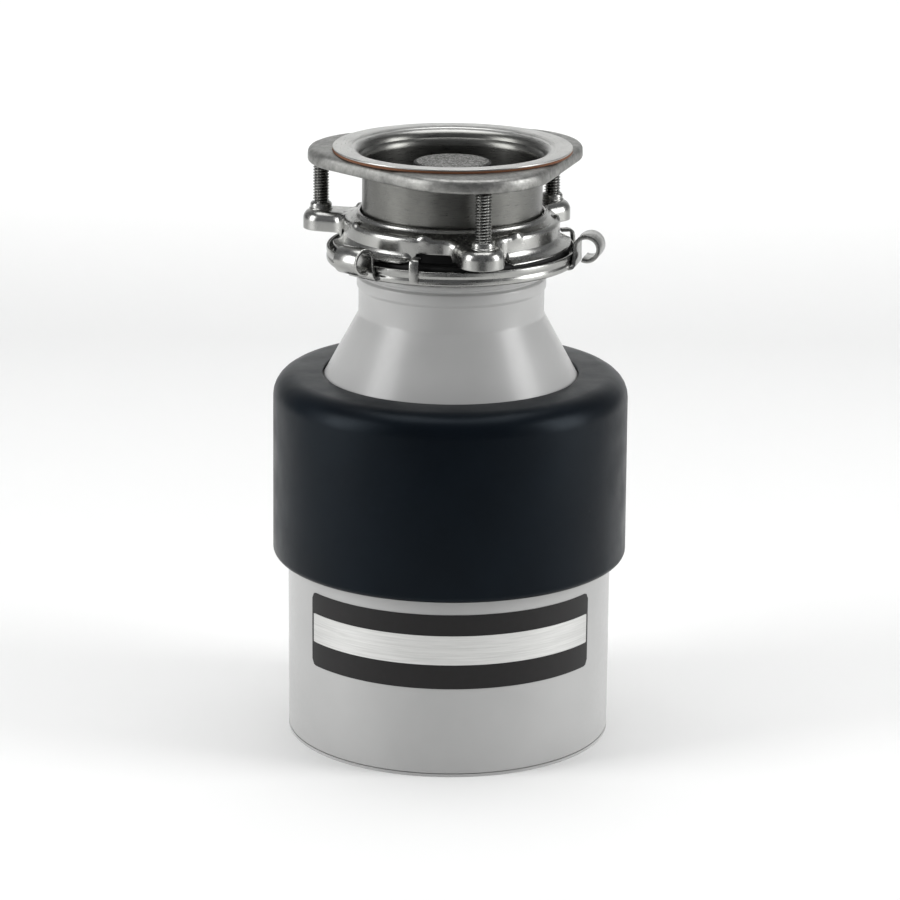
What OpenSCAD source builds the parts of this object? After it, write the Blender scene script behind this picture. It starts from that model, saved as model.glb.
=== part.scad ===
// Kitchen garbage disposal with a three-screw quick-lock sink mount.
// Origin: centre of the base, on the motor axis. +Z runs up to the sink, -Y is the label side.
// Bearings (azimuths) are degrees from the label side, turning towards +X.

/* [Motor] */
// Outside diameter of the motor can
can_d = 157.2; // [140:0.2:190]
// Height of the motor can
can_h = 98.6; // [92:0.2:120]
// Sheet thickness of the motor can
can_wall = 1.1; // [0.8:0.1:2]
// Height of the bottom frame's rim below the can
foot_lip = 1.4; // [1:0.1:4]
// Diameter of the shaft in the upper bearing and the rotor
shaft_d = 16; // [12:0.5:20]
// Diameter of the shaft in the lower bearing
journal_d = 12; // [8:0.5:14]
// Outside diameter of the rotor laminations
rotor_d = 64; // [52:1:70]
// Air gap between rotor and stator
air_gap = 0.5; // [0.3:0.1:1]
// Height of the lamination stacks
stack_h = 44; // [30:1:50]
// Number of stator slots
slots = 24; // [12:4:36]

/* [Electrical bottom] */
// Thickness of the bottom frame's plate
plate_t = 3; // [2:0.5:5]
// Diameter of the conduit knock-out
conduit_d = 22.2; // [18:0.1:28]
// Diameter of the reset button
button_d = 10; // [7:0.5:12]
// Travel of the reset button when the overload trips
button_travel = 2.5; // [1:0.5:2.5]
// Width across the flats of the jam wrench socket
socket_af = 6.35; // [4:0.05:8]

/* [Grinding chamber] */
// Height of the discharge chamber
chamber_h = 54; // [50:1:70]
// Wall of the discharge chamber
chamber_wall = 4; // [3:0.5:6]
// Bore of the discharge outlet
outlet_d = 38; // [32:0.5:40]
// Distance between the two outlet flange bolts
outlet_bolt_spacing = 64; // [60:1:76]
// Distance from the motor axis to the outlet face
outlet_reach = 104; // [102:1:130]
// Diameter of the grinding turntable
turntable_d = 132; // [110:1:134]
// Thickness of the turntable
turntable_t = 3; // [2:0.5:5]
// Height of the shredder ring
shredder_h = 14; // [11:1:14]
// Number of teeth in the shredder ring
shredder_teeth = 24; // [12:2:36]
// Distance from the axis to a swivel lug's pin
lug_orbit = 40; // [34:1:42]
// Reach of a swivel lug from its pin
lug_reach = 19; // [14:0.5:22]

/* [Hopper] */
// Sheet thickness of the hopper
hopper_wall = 1.2; // [0.8:0.1:2]
// Outside diameter of the cone where it leaves the sound jacket
foot_d = 120.8; // [112:0.2:130]
// Outside diameter of the neck
neck_d = 89.3; // [89:0.1:98]
// Height of the cone
cone_h = 29.4; // [24:0.2:50]
// Height of the neck up to its rolled rim
neck_h = 27.9; // [24:0.1:50]
// Outside diameter of the dishwasher inlet
inlet_d = 22.2; // [15:0.1:24]

/* [Sound jacket] */
// Space for the foam between the can and the jacket
foam_gap = 4.4; // [4.2:0.1:10]
// Wall of the sound jacket
jacket_wall = 3.1; // [2:0.1:5]
// How far the jacket hangs below the top of the can
jacket_drop = 11.5; // [10:0.1:30]

/* [Label] */
// Width of the label plate across the can
label_w = 132.4; // [80:0.2:150]
// Height of the label plate
label_h = 36.8; // [20:0.2:50]
// Height of the label's lower edge
label_z = 44.4; // [20:0.2:60]

/* [Sink mount] */
// Outside diameter of the sink flange's sleeve
sleeve_d = 86.14; // [84:0.02:88]
// Sheet thickness of the sink flange
flange_wall = 0.8; // [0.6:0.1:1.4]
// Outside diameter of the sink flange's rim
rim_d = 114.3; // [110:0.1:120]
// Thickness of the fibre gasket
fibre_t = 1.2; // [1:0.1:4]
// Thickness of the backup flange
backup_t = 7.2; // [5.8:0.1:10]
// Radius of each of the backup flange's three lobes
lobe_r = 40.1; // [36:0.1:46]
// Sleeve left showing under the backup flange
sleeve_show = 21.6; // [18:0.1:45]
// Sheet thickness of the mounting rings
ring_t = 1.5; // [1.2:0.1:2]
// Outside diameter of the upper ring's wall
upper_d = 103; // [102:0.2:106]
// Height of the upper ring
upper_h = 15.4; // [14:0.1:20]
// Outside diameter of the lower ring
lower_d = 120; // [117:0.2:123]
// Height of the lower ring's wall
lower_h = 7.2; // [6.6:0.1:7.6]
// Radius of the mounting screws' circle
screw_orbit = 66.3; // [65:0.1:70]
// Thread diameter of the mounting screws
screw_d = 7.94; // [6.3:0.02:8.6]
// Bearing of the first mounting screw
screw_az = 12.6; // [0:0.1:20]
// Bearing of the first rolled ear of the lower ring
curl_az = -43; // [-48:0.5:-40]
// Width of a rolled ear
curl_w = 14; // [8:0.5:16]
// Outside radius of a rolled ear
curl_r = 6.7; // [5:0.1:7]
// Diameter of the stopper's steel cap
cap_d = 34.8; // [28:0.2:40]

/* [Hidden] */
$fn = 96;
eps = 0.01;

// Clearances
seat = 0.1;        // a located part in its seat
run = 0.05;        // a shaft, pin or button in its bore
slack = 0.5;       // parts that slide freely past each other
hook_gap = 0.8;    // lower ring's hook over the upper ring's lip

// Motor and frame
can_r = can_d / 2;
can_in_r = can_r - can_wall;
spigot_r = can_in_r - seat;
spigot_wall = 3.5;
can_z0 = foot_lip;
can_z1 = can_z0 + can_h;
plate_z = 3;
plate_top = plate_z + plate_t;
boss_top = plate_top + 20;
shaft_r = shaft_d / 2;
journal_r = journal_d / 2;
bush_wall = 3;
lower_boss_r = journal_r + run + bush_wall + 5;
box_wall = 2;
box_x = 34;
box_y0 = 24;
box_y1 = 62;
box_top = plate_top + 18;
cover_x0 = 2;
cover_w = 28;
cover_h = 30;
cover_t = 1.2;
cover_mid = [cover_x0 + cover_w / 2, (box_y0 + box_y1) / 2];
conduit_at = [-17, (box_y0 + box_y1) / 2];
button_at = [-34, -26];
button_r = button_d / 2;
button_z = button_travel + 1;
button_len = 14;
washer_t = 1.3;

rotor_r = rotor_d / 2;
stator_bore_r = rotor_r + air_gap;
slot_w = 4.6;
slot_depth = 16;
slot_mouth = 2;
slot_r0 = stator_bore_r + 4;
coil_overhang = 11;
coil_gap = 0.3;
stack_z1 = can_z1 - coil_overhang - coil_gap - 0.7;
stack_z0 = stack_z1 - stack_h;
bolt_orbit = can_in_r - 7.5;
bolt_r = 2.5;
bolt_head_r = 3.8;
bolt_head_h = 2.2;
ring_h = 5;

// Upper end bell
bell_t = 4;
bell_z1 = can_z1 + bell_t;
bearing_wall = 5;
bearing_r = shaft_r + run + bearing_wall;
bell_boss_r = bearing_r + 4;
bell_boss_z0 = can_z1 - 6;
bell_boss_z1 = bell_z1 + 21;
seal_h = 5.5;

// Discharge chamber and turntable
chamber_z0 = bell_z1;
chamber_z1 = chamber_z0 + chamber_h;
chamber_r = can_r - 0.6;
chamber_in_r = chamber_r - chamber_wall;
flange_r = can_r + foam_gap - 0.6;
flange_t = 4;
flange_bolt_orbit = flange_r - 2.4;
floor_t = 4;
outlet_r = outlet_d / 2;
outlet_wall = 4;
outlet_z = chamber_z0 + floor_t + outlet_r + 6;
outlet_ear_r = 8;
outlet_flange_t = 6;
outlet_screw_r = 2.6;
shredder_z0 = chamber_z1;
turntable_r = turntable_d / 2;
shredder_in_r = turntable_r + 1.5;
shredder_wall = 6.5;
shredder_r = shredder_in_r + shredder_wall;
container_gasket_t = 2;
table_z0 = chamber_z1 + 2;
table_z1 = table_z0 + turntable_t;
hub_r = shaft_r + 6;
hub_h = 5;
spindle_r = shaft_r - 2;
pin_r = 4;
pin_head_r = 7;
pin_head_h = 2;
lug_h = 8;
lug_z0 = table_z1 + slack;
lug_z1 = lug_z0 + lug_h;
nut_h = 6;
slinger_r = bell_boss_r + 5;
slinger_gap = 2;

// Hopper
hopper_z0 = chamber_z1 + container_gasket_t;
hopper_low_r = shredder_r + seat + hopper_wall;
foot_r = foot_d / 2;
neck_r = neck_d / 2;
foot_z = hopper_z0 + 19.6;
shoulder_z = foot_z - jacket_wall - 0.4;
neck_z0 = foot_z + cone_h;
neck_z1 = neck_z0 + neck_h;
cone_slope = (foot_r - neck_r) / cone_h;
rim_roll_r = sleeve_d / 2 + 12;
hopper_rim_z1 = neck_z1 + hopper_wall;
bead_z0 = neck_z0 + 13;
bead_h = 6;
bead_r = neck_r + 0.8;
inlet_r = inlet_d / 2;
inlet_wall = 1.6;
inlet_z = foot_z + inlet_r + 5.5;
inlet_root = foot_r + 1;
inlet_collar = 1.6;
inlet_tip = inlet_root + 21;

// Sound jacket
jacket_in_r = can_r + foam_gap;
jacket_r = jacket_in_r + jacket_wall;
jacket_z0 = can_z1 - jacket_drop;
jacket_z1 = foot_z;
jacket_shoulder = 11.5;
jacket_draft = 0.4;
jacket_foot_h = 7.6;
jacket_foot_w = foam_gap + jacket_wall;
jacket_can_r = can_r + 0.3;
window_x = outlet_bolt_spacing / 2 + outlet_ear_r + 3;
window_z = outlet_r + outlet_wall + 4;

// Sink mount, upwards from the hopper's rim
sleeve_r = sleeve_d / 2;
lower_r = lower_d / 2;
lower_z0 = neck_z1 - slack - ring_t;
lower_z1 = lower_z0 + lower_h;
gasket_t = 5.7;
upper_z0 = hopper_rim_z1 + gasket_t;
upper_z1 = upper_z0 + upper_h;
upper_r = upper_d / 2;
lip_r = lower_r - 3;
lip_from = 16;
lip_to = 87.5;
arch_from = -32;
arch_to = -12.5;
slot_from = 13;
slot_to = 15.5;
arch_top = upper_z0 + 4.4;
ear_w = 20.8;
ear_tip = screw_orbit + 8.5;
ear_z0 = upper_z0 + 1.7;
ear_z1 = upper_z0 + 11.2;
screw_r = screw_d / 2;
nut_r = screw_r + 1;
nut_z1 = ear_z1 + 3.2;
lobe_edge = 0.4;
backup_z0 = upper_z1 + sleeve_show;
backup_z1 = backup_z0 + backup_t;
fibre_z1 = backup_z1 + fibre_t;
rim_z1 = fibre_z1 + flange_wall;
sleeve_z0 = upper_z0 + 2.5;
mouth_r = 6.6;
mouth_in_r = sleeve_r - flange_wall;
ledge_z = rim_z1 - 26.7;
ledge_r = mouth_in_r - 1.8;
lobe_orbit = screw_orbit + screw_r + lobe_edge - lobe_r;
groove_z0 = upper_z0 + 9;
groove_h = 1.8;
groove_depth = 0.5;
screw_z0 = ear_z0 - 1.2;
screw_slot_w = 1.2;
screw_slot_h = 1.8;
hook_az = curl_az + 26;
hook_w = 4.4;
hook_z1 = upper_z0 + ring_t + hook_gap + ring_t;
curl_t = 1.9;
curl_mid = [lower_r + curl_r + 0.1, lower_z0 + 10];
stopper_r = mouth_in_r - slack;
cap_t = 1.5;
stopper_z1 = rim_z1 - 7.2;

// A straight ring about the motor axis
module tube(r_out, r_in, z0, z1) {
    translate([0, 0, z0])
        difference() {
            cylinder(r = r_out, h = z1 - z0);
            translate([0, 0, -eps])
                cylinder(r = r_in, h = z1 - z0 + 2 * eps);
        }
}

// Repeats children evenly round the motor axis
module around(n, from = 0) {
    for (i = [0 : n - 1])
        rotate([0, 0, from + i * 360 / n])
            children();
}

// A block centred on X and Y, standing on z0
module block(x, y, z0, z1) {
    translate([-x / 2, -y / 2, z0])
        cube([x, y, z1 - z0]);
}

// A wedge that reaches from the axis over a span of bearings
module wedge(az0, az1, r, z0, z1) {
    steps = 8;
    outline = [for (i = [0 : steps]) let (a = az0 + (az1 - az0) * i / steps) [r * sin(a), -r * cos(a)]];
    translate([0, 0, z0])
        linear_extrude(z1 - z0)
            polygon(concat([[0, 0]], outline));
}

// A rectangle with round corners, its lower left corner at the origin
module round_rect(w, h, r) {
    translate([r, 0])
        square([w - 2 * r, h]);
    translate([0, r])
        square([w, h - 2 * r]);
    for (x = [r, w - r], y = [r, h - r])
        translate([x, y])
            circle(r = r, $fn = 32);
}

// ---- Bottom frame and electrical parts ----

module compartment(grow, z0, z1) {
    intersection() {
        translate([-box_x - grow, box_y0 - grow, z0])
            cube([2 * (box_x + grow), box_y1 - box_y0 + 2 * grow, z1 - z0]);
        cylinder(r = spigot_r - spigot_wall + eps, h = can_h);
    }
}

module lower_end_frame() {
    color("silver")
        difference() {
            union() {
                tube(can_r, spigot_r - spigot_wall, 0, foot_lip);
                tube(spigot_r, spigot_r - spigot_wall, 0, plate_top + 8);
                tube(spigot_r - eps, journal_r + 3, plate_z, plate_top);
                tube(lower_boss_r, journal_r + run + bush_wall, plate_z, boss_top);
                difference() {
                    compartment(box_wall, plate_z, box_top);
                    compartment(0, plate_z - 1, box_top - box_wall);
                }
                around(4, 45)
                    translate([0, -bolt_orbit, plate_z])
                        cylinder(r = bolt_r + 2.5, h = 20);
            }
            translate([conduit_at[0], conduit_at[1], 0])
                cylinder(d = conduit_d, h = plate_top + 1);
            translate([cover_mid[0], cover_mid[1], 0])
                block(cover_w - 6, cover_h - 12, 0, plate_top + 1);
            translate([cover_mid[0], cover_mid[1] - cover_h / 2 + 3, 0])
                cylinder(r = 1.7, h = plate_top + 1);
            translate([button_at[0], button_at[1], 0])
                cylinder(r = button_r + run, h = plate_top + 1);
            translate([0, 0, -1])
                cylinder(r = journal_r + 2, h = plate_top + 1);
            around(4, 45)
                translate([0, -bolt_orbit, -1])
                    cylinder(r = bolt_r + seat, h = can_h);
        }
}

module terminal_cover() {
    color("gainsboro")
        difference() {
            translate([cover_mid[0], cover_mid[1], 0])
                block(cover_w, cover_h, plate_z - cover_t, plate_z);
            translate([cover_mid[0], cover_mid[1] - cover_h / 2 + 3, 0])
                cylinder(r = 1.7, h = plate_top);
        }
}

// A pan-head screw pointing up, its head's underside at the origin
module pan_screw(r, head_r, head_h, len) {
    difference() {
        union() {
            translate([0, 0, -head_h])
                cylinder(r = head_r, h = head_h);
            cylinder(r = r, h = len);
        }
        block(head_r * 2 + 1, 0.8, -head_h - 1, -head_h + 0.6);
    }
}

module terminal_cover_screw() {
    color("silver")
        translate([cover_mid[0], cover_mid[1] - cover_h / 2 + 3, plate_z - cover_t])
            pan_screw(1.6, 3, 1.3, 7);
}

module ground_screw() {
    color("green")
        translate([box_x - 8, box_y1 - 9, plate_top + 3])
            rotate([180, 0, 0])
                pan_screw(2, 4, 2, 3);
}

module overload_protector() {
    color("black")
        difference() {
            translate([button_at[0], button_at[1], 0])
                block(24, 18, plate_top, plate_top + 16);
            translate([button_at[0], button_at[1], 0])
                cylinder(r = button_r + run, h = button_z + button_len + 1);
        }
}

module reset_button() {
    color("red")
        translate([button_at[0], button_at[1], button_z])
            cylinder(r = button_r, h = button_len);
}

module start_switch() {
    color("tan")
        translate([0, -lower_boss_r - 8, 0])
            union() {
                block(16, 12, plate_top, boss_top - 2);
                translate([0, 5, 0])
                    block(5, 4, boss_top - 6, boss_top + 2);
            }
}

module lower_bearing() {
    color("goldenrod")
        tube(journal_r + run + bush_wall, journal_r + run, plate_top + 1, boss_top);
}

module lower_thrust_washer() {
    color("white")
        tube(lower_boss_r - 2, journal_r + slack, boss_top, boss_top + washer_t);
}

// ---- Motor ----

module motor_can() {
    color("lightgray")
        tube(can_r, can_in_r, can_z0, can_z1);
}

// The slots' outline, or with a gap the conductors that fill them
module slot_set(gap, z0, z1) {
    around(slots)
        translate([0, -slot_r0 - slot_depth / 2, 0])
            block(slot_w - 2 * gap, slot_depth - 2 * gap, z0, z1);
}

module stator_core() {
    color("slategray")
        difference() {
            tube(can_in_r - seat, stator_bore_r, stack_z0, stack_z1);
            slot_set(0, stack_z0 - 1, stack_z1 + 1);
            around(slots)
                translate([0, -stator_bore_r - 2, 0])
                    block(slot_mouth, 6, stack_z0 - 1, stack_z1 + 1);
            around(4, 45)
                translate([0, -bolt_orbit, stack_z0 - 1])
                    cylinder(r = bolt_r + seat, h = stack_h + 2);
        }
}

module coil_end(z0) {
    translate([0, 0, z0])
        rotate_extrude()
            translate([slot_r0 - 0.5, 0])
                round_rect(slot_depth + 2, coil_overhang, 3.5);
}

module stator_windings() {
    color("peru") {
        coil_end(stack_z0 - coil_gap - coil_overhang);
        coil_end(stack_z1 + coil_gap);
        slot_set(coil_gap, stack_z0 - coil_gap - 1, stack_z1 + coil_gap + 1);
    }
}

module rotor_core() {
    color("dimgray")
        tube(rotor_r, shaft_r, stack_z0, stack_z1);
}

module rotor_end_rings() {
    color("silver")
        for (z = [stack_z0 - ring_h, stack_z1]) {
            tube(rotor_r - 1.5, rotor_r - 11, z, z + ring_h);
            around(8)
                translate([0, -rotor_r + 6, 0])
                    block(2, 6, z > stack_z0 ? z + ring_h - 1 : z - 4, z > stack_z0 ? z + ring_h + 4 : z + 1);
        }
}

module centrifugal_actuator() {
    color("ivory") {
        tube(shaft_r + 5, shaft_r, boss_top + washer_t + 2, stack_z0 - 5);
        tube(shaft_r + 9, shaft_r, boss_top + washer_t + 2, boss_top + washer_t + 4);
    }
}

module rotor_shaft() {
    color("lightsteelblue")
        difference() {
            union() {
                translate([0, 0, plate_top - 1])
                    cylinder(r = journal_r, h = boss_top + washer_t + 0.2 - plate_top + 1);
                translate([0, 0, boss_top + washer_t + 0.2])
                    cylinder(r = shaft_r, h = table_z0 - hub_h - boss_top - washer_t - 0.2);
                translate([0, 0, table_z0 - hub_h - eps])
                    cylinder(r = spindle_r, h = hub_h + turntable_t + nut_h + 1.5);
            }
            translate([0, 0, plate_top - 2])
                cylinder(d = socket_af / cos(30), h = 10, $fn = 6);
        }
}

module upper_end_bell() {
    color("silver")
        difference() {
            union() {
                tube(can_r, bell_boss_r - 1, can_z1, bell_z1);
                tube(spigot_r, spigot_r - spigot_wall, can_z1 - 5, bell_z1);
                tube(bell_boss_r, bearing_r, bell_boss_z0, bell_boss_z1);
                around(4, 45)
                    translate([0, -bolt_orbit, can_z1 - 8])
                        cylinder(r = bolt_r + 2.5, h = 8 + bell_t - 1);
            }
            around(4, 45)
                translate([0, -bolt_orbit, can_z1 - 9])
                    cylinder(r = bolt_r + seat, h = 9 + 1);
            // keeps the bolt bosses inside the can
            difference() {
                translate([0, 0, can_z1 - 10])
                    cylinder(r = can_r + 2, h = 10);
                translate([0, 0, can_z1 - 11])
                    cylinder(r = spigot_r, h = 12);
            }
        }
}

module upper_bearing() {
    color("goldenrod")
        tube(bearing_r, shaft_r + run, bell_boss_z0 + 1, bell_boss_z1 - seal_h - 1);
}

module shaft_seal() {
    color("black")
        tube(bearing_r, shaft_r + 0.3, bell_boss_z1 - seal_h, bell_boss_z1);
}

module through_bolts() {
    color("gray")
        around(4, 45)
            translate([0, -bolt_orbit, plate_z])
                pan_screw(bolt_r, bolt_head_r, bolt_head_h, can_z1 - plate_z);
}

module water_slinger() {
    color("black") {
        tube(slinger_r, shaft_r, bell_boss_z1 + slinger_gap, bell_boss_z1 + slinger_gap + 2);
        tube(slinger_r, slinger_r - 2, bell_boss_z1 - 4, bell_boss_z1 + slinger_gap + 2);
    }
}

// ---- Grinding chamber ----

module outlet_outline(r) {
    circle(r = r);
    square([outlet_bolt_spacing, 2 * outlet_ear_r], center = true);
    for (s = [-1, 1])
        translate([s * outlet_bolt_spacing / 2, 0])
            circle(r = outlet_ear_r);
}

// Stands children, drawn in the XY plane, across the outlet's axis
module on_outlet(y) {
    translate([0, y, outlet_z])
        rotate([90, 0, 0])
            children();
}

module discharge_chamber() {
    color("silver")
        difference() {
            union() {
                tube(chamber_r, chamber_in_r, chamber_z0, chamber_z1);
                tube(chamber_r, bell_boss_r + 1, chamber_z0, chamber_z0 + floor_t);
                tube(bell_boss_r + 3, bell_boss_r + 1, chamber_z0, chamber_z0 + floor_t + 6);
                tube(flange_r, chamber_in_r, chamber_z1 - flange_t, chamber_z1);
                tube(chamber_r, shredder_in_r, chamber_z1 - flange_t, chamber_z1);
                on_outlet(outlet_reach)
                    cylinder(r = outlet_r + outlet_wall, h = outlet_reach - chamber_in_r + 6);
                on_outlet(outlet_reach)
                    linear_extrude(outlet_flange_t)
                        outlet_outline(outlet_r + outlet_wall + 1);
            }
            // keeps the outlet's root out of the chamber
            translate([0, 0, chamber_z0 + floor_t])
                cylinder(r = chamber_in_r, h = chamber_h - floor_t - flange_t);
            on_outlet(outlet_reach + 1)
                cylinder(r = outlet_r, h = outlet_reach - chamber_in_r + 12);
            for (s = [-1, 1])
                on_outlet(outlet_reach + 1)
                    translate([s * outlet_bolt_spacing / 2, 0, 0])
                        cylinder(r = outlet_screw_r, h = outlet_flange_t + 2);
            around(6, 30)
                translate([0, -flange_bolt_orbit, chamber_z1 - flange_t - 1])
                    cylinder(r = 1.6, h = flange_t + 2);
        }
}

module container_gasket() {
    color("dimgray")
        difference() {
            tube(flange_r, shredder_r + seat, chamber_z1, hopper_z0);
            around(6, 30)
                translate([0, -flange_bolt_orbit, chamber_z1 - 1])
                    cylinder(r = 1.6, h = container_gasket_t + 2);
        }
}

module container_screws() {
    color("gray")
        around(6, 30)
            translate([0, -flange_bolt_orbit, hopper_z0 + hopper_wall])
                rotate([180, 0, 0])
                    pan_screw(1.5, 2.2, 1.4, hopper_wall + container_gasket_t + flange_t + 1);
}

module turntable() {
    color("gainsboro")
        difference() {
            union() {
                translate([0, 0, table_z0])
                    cylinder(r = turntable_r, h = turntable_t);
                translate([0, 0, table_z0 - hub_h])
                    cylinder(r = hub_r, h = hub_h + eps);
                around(2, 0)
                    translate([0, -turntable_r + 9, 0])
                        block(3, 16, table_z0 - 6, table_z0 + eps);
            }
            translate([0, 0, table_z0 - hub_h - 1])
                cylinder(r = spindle_r, h = hub_h + turntable_t + 2);
            around(2, 90)
                translate([0, -lug_orbit, table_z0 - 1])
                    cylinder(r = pin_r, h = turntable_t + 2);
            around(6, 30)
                translate([0, -turntable_r + 10, table_z0 - 1])
                    cylinder(r = 3, h = turntable_t + 2);
        }
}

module lug_pins() {
    color("silver")
        around(2, 90)
            translate([0, -lug_orbit, 0]) {
                translate([0, 0, table_z0 - pin_head_h])
                    cylinder(r = pin_head_r, h = pin_head_h);
                translate([0, 0, table_z0 - eps])
                    cylinder(r = pin_r, h = lug_z1 + slack - table_z0 + 2 * eps);
                translate([0, 0, lug_z1 + slack])
                    cylinder(r = pin_head_r, h = pin_head_h);
            }
}

// A hardened swivel lug on its pin, with its arm trailing round the turntable
module swivel_lug(az) {
    color("silver")
        rotate([0, 0, az])
            translate([0, -lug_orbit, lug_z0])
                difference() {
                    union() {
                        cylinder(r = pin_r + 5, h = lug_h);
                        translate([-(lug_reach - 6), -6, 0])
                            cube([lug_reach - 6, 12, lug_h]);
                        translate([-(lug_reach - 6), 0, 0])
                            cylinder(r = 6, h = lug_h);
                    }
                    translate([0, 0, -1])
                        cylinder(r = pin_r + run, h = lug_h + 2);
                }
}

module swivel_lug_1() {
    swivel_lug(90);
}

module swivel_lug_2() {
    swivel_lug(270);
}

module turntable_nut() {
    color("silver")
        difference() {
            translate([0, 0, table_z1])
                cylinder(r = spindle_r + 5, h = nut_h, $fn = 6);
            translate([0, 0, table_z1 - 1])
                cylinder(r = spindle_r, h = nut_h + 2);
        }
}

module shredder_ring() {
    color("gray")
        difference() {
            tube(shredder_r, shredder_in_r, shredder_z0, shredder_z0 + shredder_h);
            around(shredder_teeth)
                translate([0, -shredder_in_r, 0])
                    block(5, 5, shredder_z0 + 8, shredder_z0 + shredder_h + 1);
            around(shredder_teeth, 180 / shredder_teeth)
                translate([0, -shredder_in_r, 0])
                    block(3, 6, shredder_z0 - 1, shredder_z0 + 12);
        }
}

// ---- Hopper ----

// Outside line of the hopper, from its flange up to the rim; inset moves it inwards for the inside
function hopper_line(inset) = [
    [hopper_low_r - inset, hopper_z0 + (inset > 0 ? -1 : 0)],
    [hopper_low_r - inset, shoulder_z - 3 - inset / 2],
    [hopper_low_r - 3 - inset / 2, shoulder_z - inset],
    [foot_r + cone_slope * (foot_z - shoulder_z) - inset, shoulder_z - inset],
    [foot_r - inset * 1.1, foot_z - inset / 2],
    [neck_r - inset, neck_z0 + (inset > 0 ? -inset / 2 : 0)],
    [neck_r - inset, hopper_rim_z1 + (inset > 0 ? 1 : 0)]];

module hopper() {
    color("lightgray")
        difference() {
            union() {
                rotate_extrude()
                    polygon(concat([[0, hopper_z0]], hopper_line(0), [[0, hopper_rim_z1]]));
                tube(flange_r, hopper_low_r - 0.5, hopper_z0, hopper_z0 + hopper_wall);
                tube(rim_roll_r, neck_r - 0.5, neck_z1, hopper_rim_z1);
                tube(bead_r, neck_r - 0.5, bead_z0, bead_z0 + bead_h);
                translate([0, 0, inlet_z])
                    rotate([-90, 0, 0])
                        cylinder(r = inlet_r, h = inlet_tip);
                translate([0, 0, inlet_z])
                    rotate([-90, 0, 0])
                        cylinder(r = inlet_r + inlet_collar, h = inlet_root);
            }
            rotate_extrude()
                polygon(concat([[0, hopper_z0 - 1]], hopper_line(hopper_wall), [[0, hopper_rim_z1 + 1]]));
            translate([0, 0, inlet_z])
                rotate([-90, 0, 0])
                    cylinder(r = inlet_r - inlet_wall, h = inlet_tip + 1);
            around(6, 30)
                translate([0, -flange_bolt_orbit, hopper_z0 - 1])
                    cylinder(r = 1.6, h = hopper_wall + 2);
        }
}

module dishwasher_inlet_plug() {
    color("darkgray")
        translate([0, foot_r - 1, inlet_z])
            rotate([-90, 0, 0])
                cylinder(r = inlet_r - inlet_wall, h = 1.5);
}

// ---- Sound jacket and label ----

// Outside line of the jacket; inset moves it inwards for the inside
function jacket_line(inset) =
    let (low = acos((jacket_can_r - jacket_r + jacket_foot_w) / jacket_foot_w))
    concat(
        [for (i = [0 : 12])
            let (a = low * (i / 12 - 1))
            [max(jacket_can_r, jacket_r - jacket_foot_w + (jacket_foot_w - inset) * cos(a)),
             jacket_z0 + jacket_foot_h * sin(low) + (jacket_foot_h - inset) * sin(a)]],
        [for (i = [0 : 10])
            let (a = 9 * i)
            [jacket_r - jacket_draft - jacket_shoulder + (jacket_shoulder - inset) * cos(a),
             jacket_z1 - jacket_shoulder + (jacket_shoulder - inset) * sin(a)]],
        [[foot_r + 0.4 + cone_slope * inset, jacket_z1 - inset]]);

module outlet_window() {
    translate([-window_x, 0, outlet_z - window_z])
        cube([2 * window_x, jacket_r + 5, 2 * window_z]);
}

module sound_jacket() {
    outside = jacket_line(0);
    inside = jacket_line(jacket_wall);
    reversed = [for (i = [len(inside) - 1 : -1 : 0]) inside[i]];
    color("#151b20")
        difference() {
            rotate_extrude()
                polygon(concat(outside, reversed));
            outlet_window();
        }
}

module sound_foam() {
    color("#404040")
        difference() {
            tube(jacket_in_r - jacket_draft, can_r + 0.3, can_z1 - 2, chamber_z1 - flange_t - 3);
            outlet_window();
        }
}

module label_plate() {
    color("black")
        intersection() {
            tube(can_r + 0.5, can_r, label_z, label_z + label_h);
            translate([1.1 - label_w / 2, -can_r - 2, label_z + label_h])
                rotate([-90, 0, 0])
                    linear_extrude(can_r)
                        round_rect(label_w, label_h, 3);
        }
}

// ---- Sink mount ----

module mounting_gasket() {
    color("#202020") {
        tube(lip_r - slack, sleeve_r - 3, hopper_rim_z1, upper_z0);
        tube(upper_r - ring_t - slack, sleeve_r + seat, upper_z0 - eps, groove_z0 - 3);
    }
}

module splash_baffle() {
    color("#181818")
        difference() {
            translate([0, 0, hopper_rim_z1 + 2])
                cylinder(r = sleeve_r - 3, h = 2);
            translate([0, 0, hopper_rim_z1])
                cylinder(r = 7, h = 6);
            around(4)
                block(2 * (sleeve_r - 9), 1, hopper_rim_z1, hopper_rim_z1 + 5);
        }
}

// Section of a rolled ear: a strap that leaves the ring, rises and curls over outwards
function curl_arc(r, from, to) = [for (i = [0 : 20])
    let (a = from + (to - from) * i / 20)
    curl_mid + r * [cos(a), sin(a)]];

module rolled_ear() {
    root = lower_r - ring_t / 2;
    root_z = lower_z0 + 0.2;
    left = curl_mid[0] - curl_r;
    rotate([90, 0, -90])
        translate([0, 0, -curl_w / 2])
            linear_extrude(curl_w)
                polygon(concat(
                    [[root, root_z], [left + curl_t, root_z]],
                    curl_arc(curl_r - curl_t, 180, -112),
                    curl_arc(curl_r, -112, 180),
                    [[left, root_z + curl_t], [root, root_z + curl_t]]));
}

// A narrow upright tab whose tip bends inwards over the upper ring's lip
module hook() {
    inside = 0.1;
    intersection() {
        union() {
            tube(lower_r - inside, lower_r - ring_t + inside, lower_z1 - 1, hook_z1);
            tube(lower_r - inside, lip_r - 3.5, hook_z1 - ring_t, hook_z1);
        }
        translate([0, -lower_r + 4, 0])
            block(hook_w, 12, lower_z0, hook_z1 + 1);
    }
}

module lower_mounting_ring() {
    color("gainsboro") {
        tube(lower_r, bead_r + 1, lower_z0, lower_z0 + ring_t);
        tube(lower_r, lower_r - ring_t, lower_z0, lower_z1);
        around(3, curl_az)
            rolled_ear();
        around(3, hook_az)
            hook();
    }
}

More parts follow.
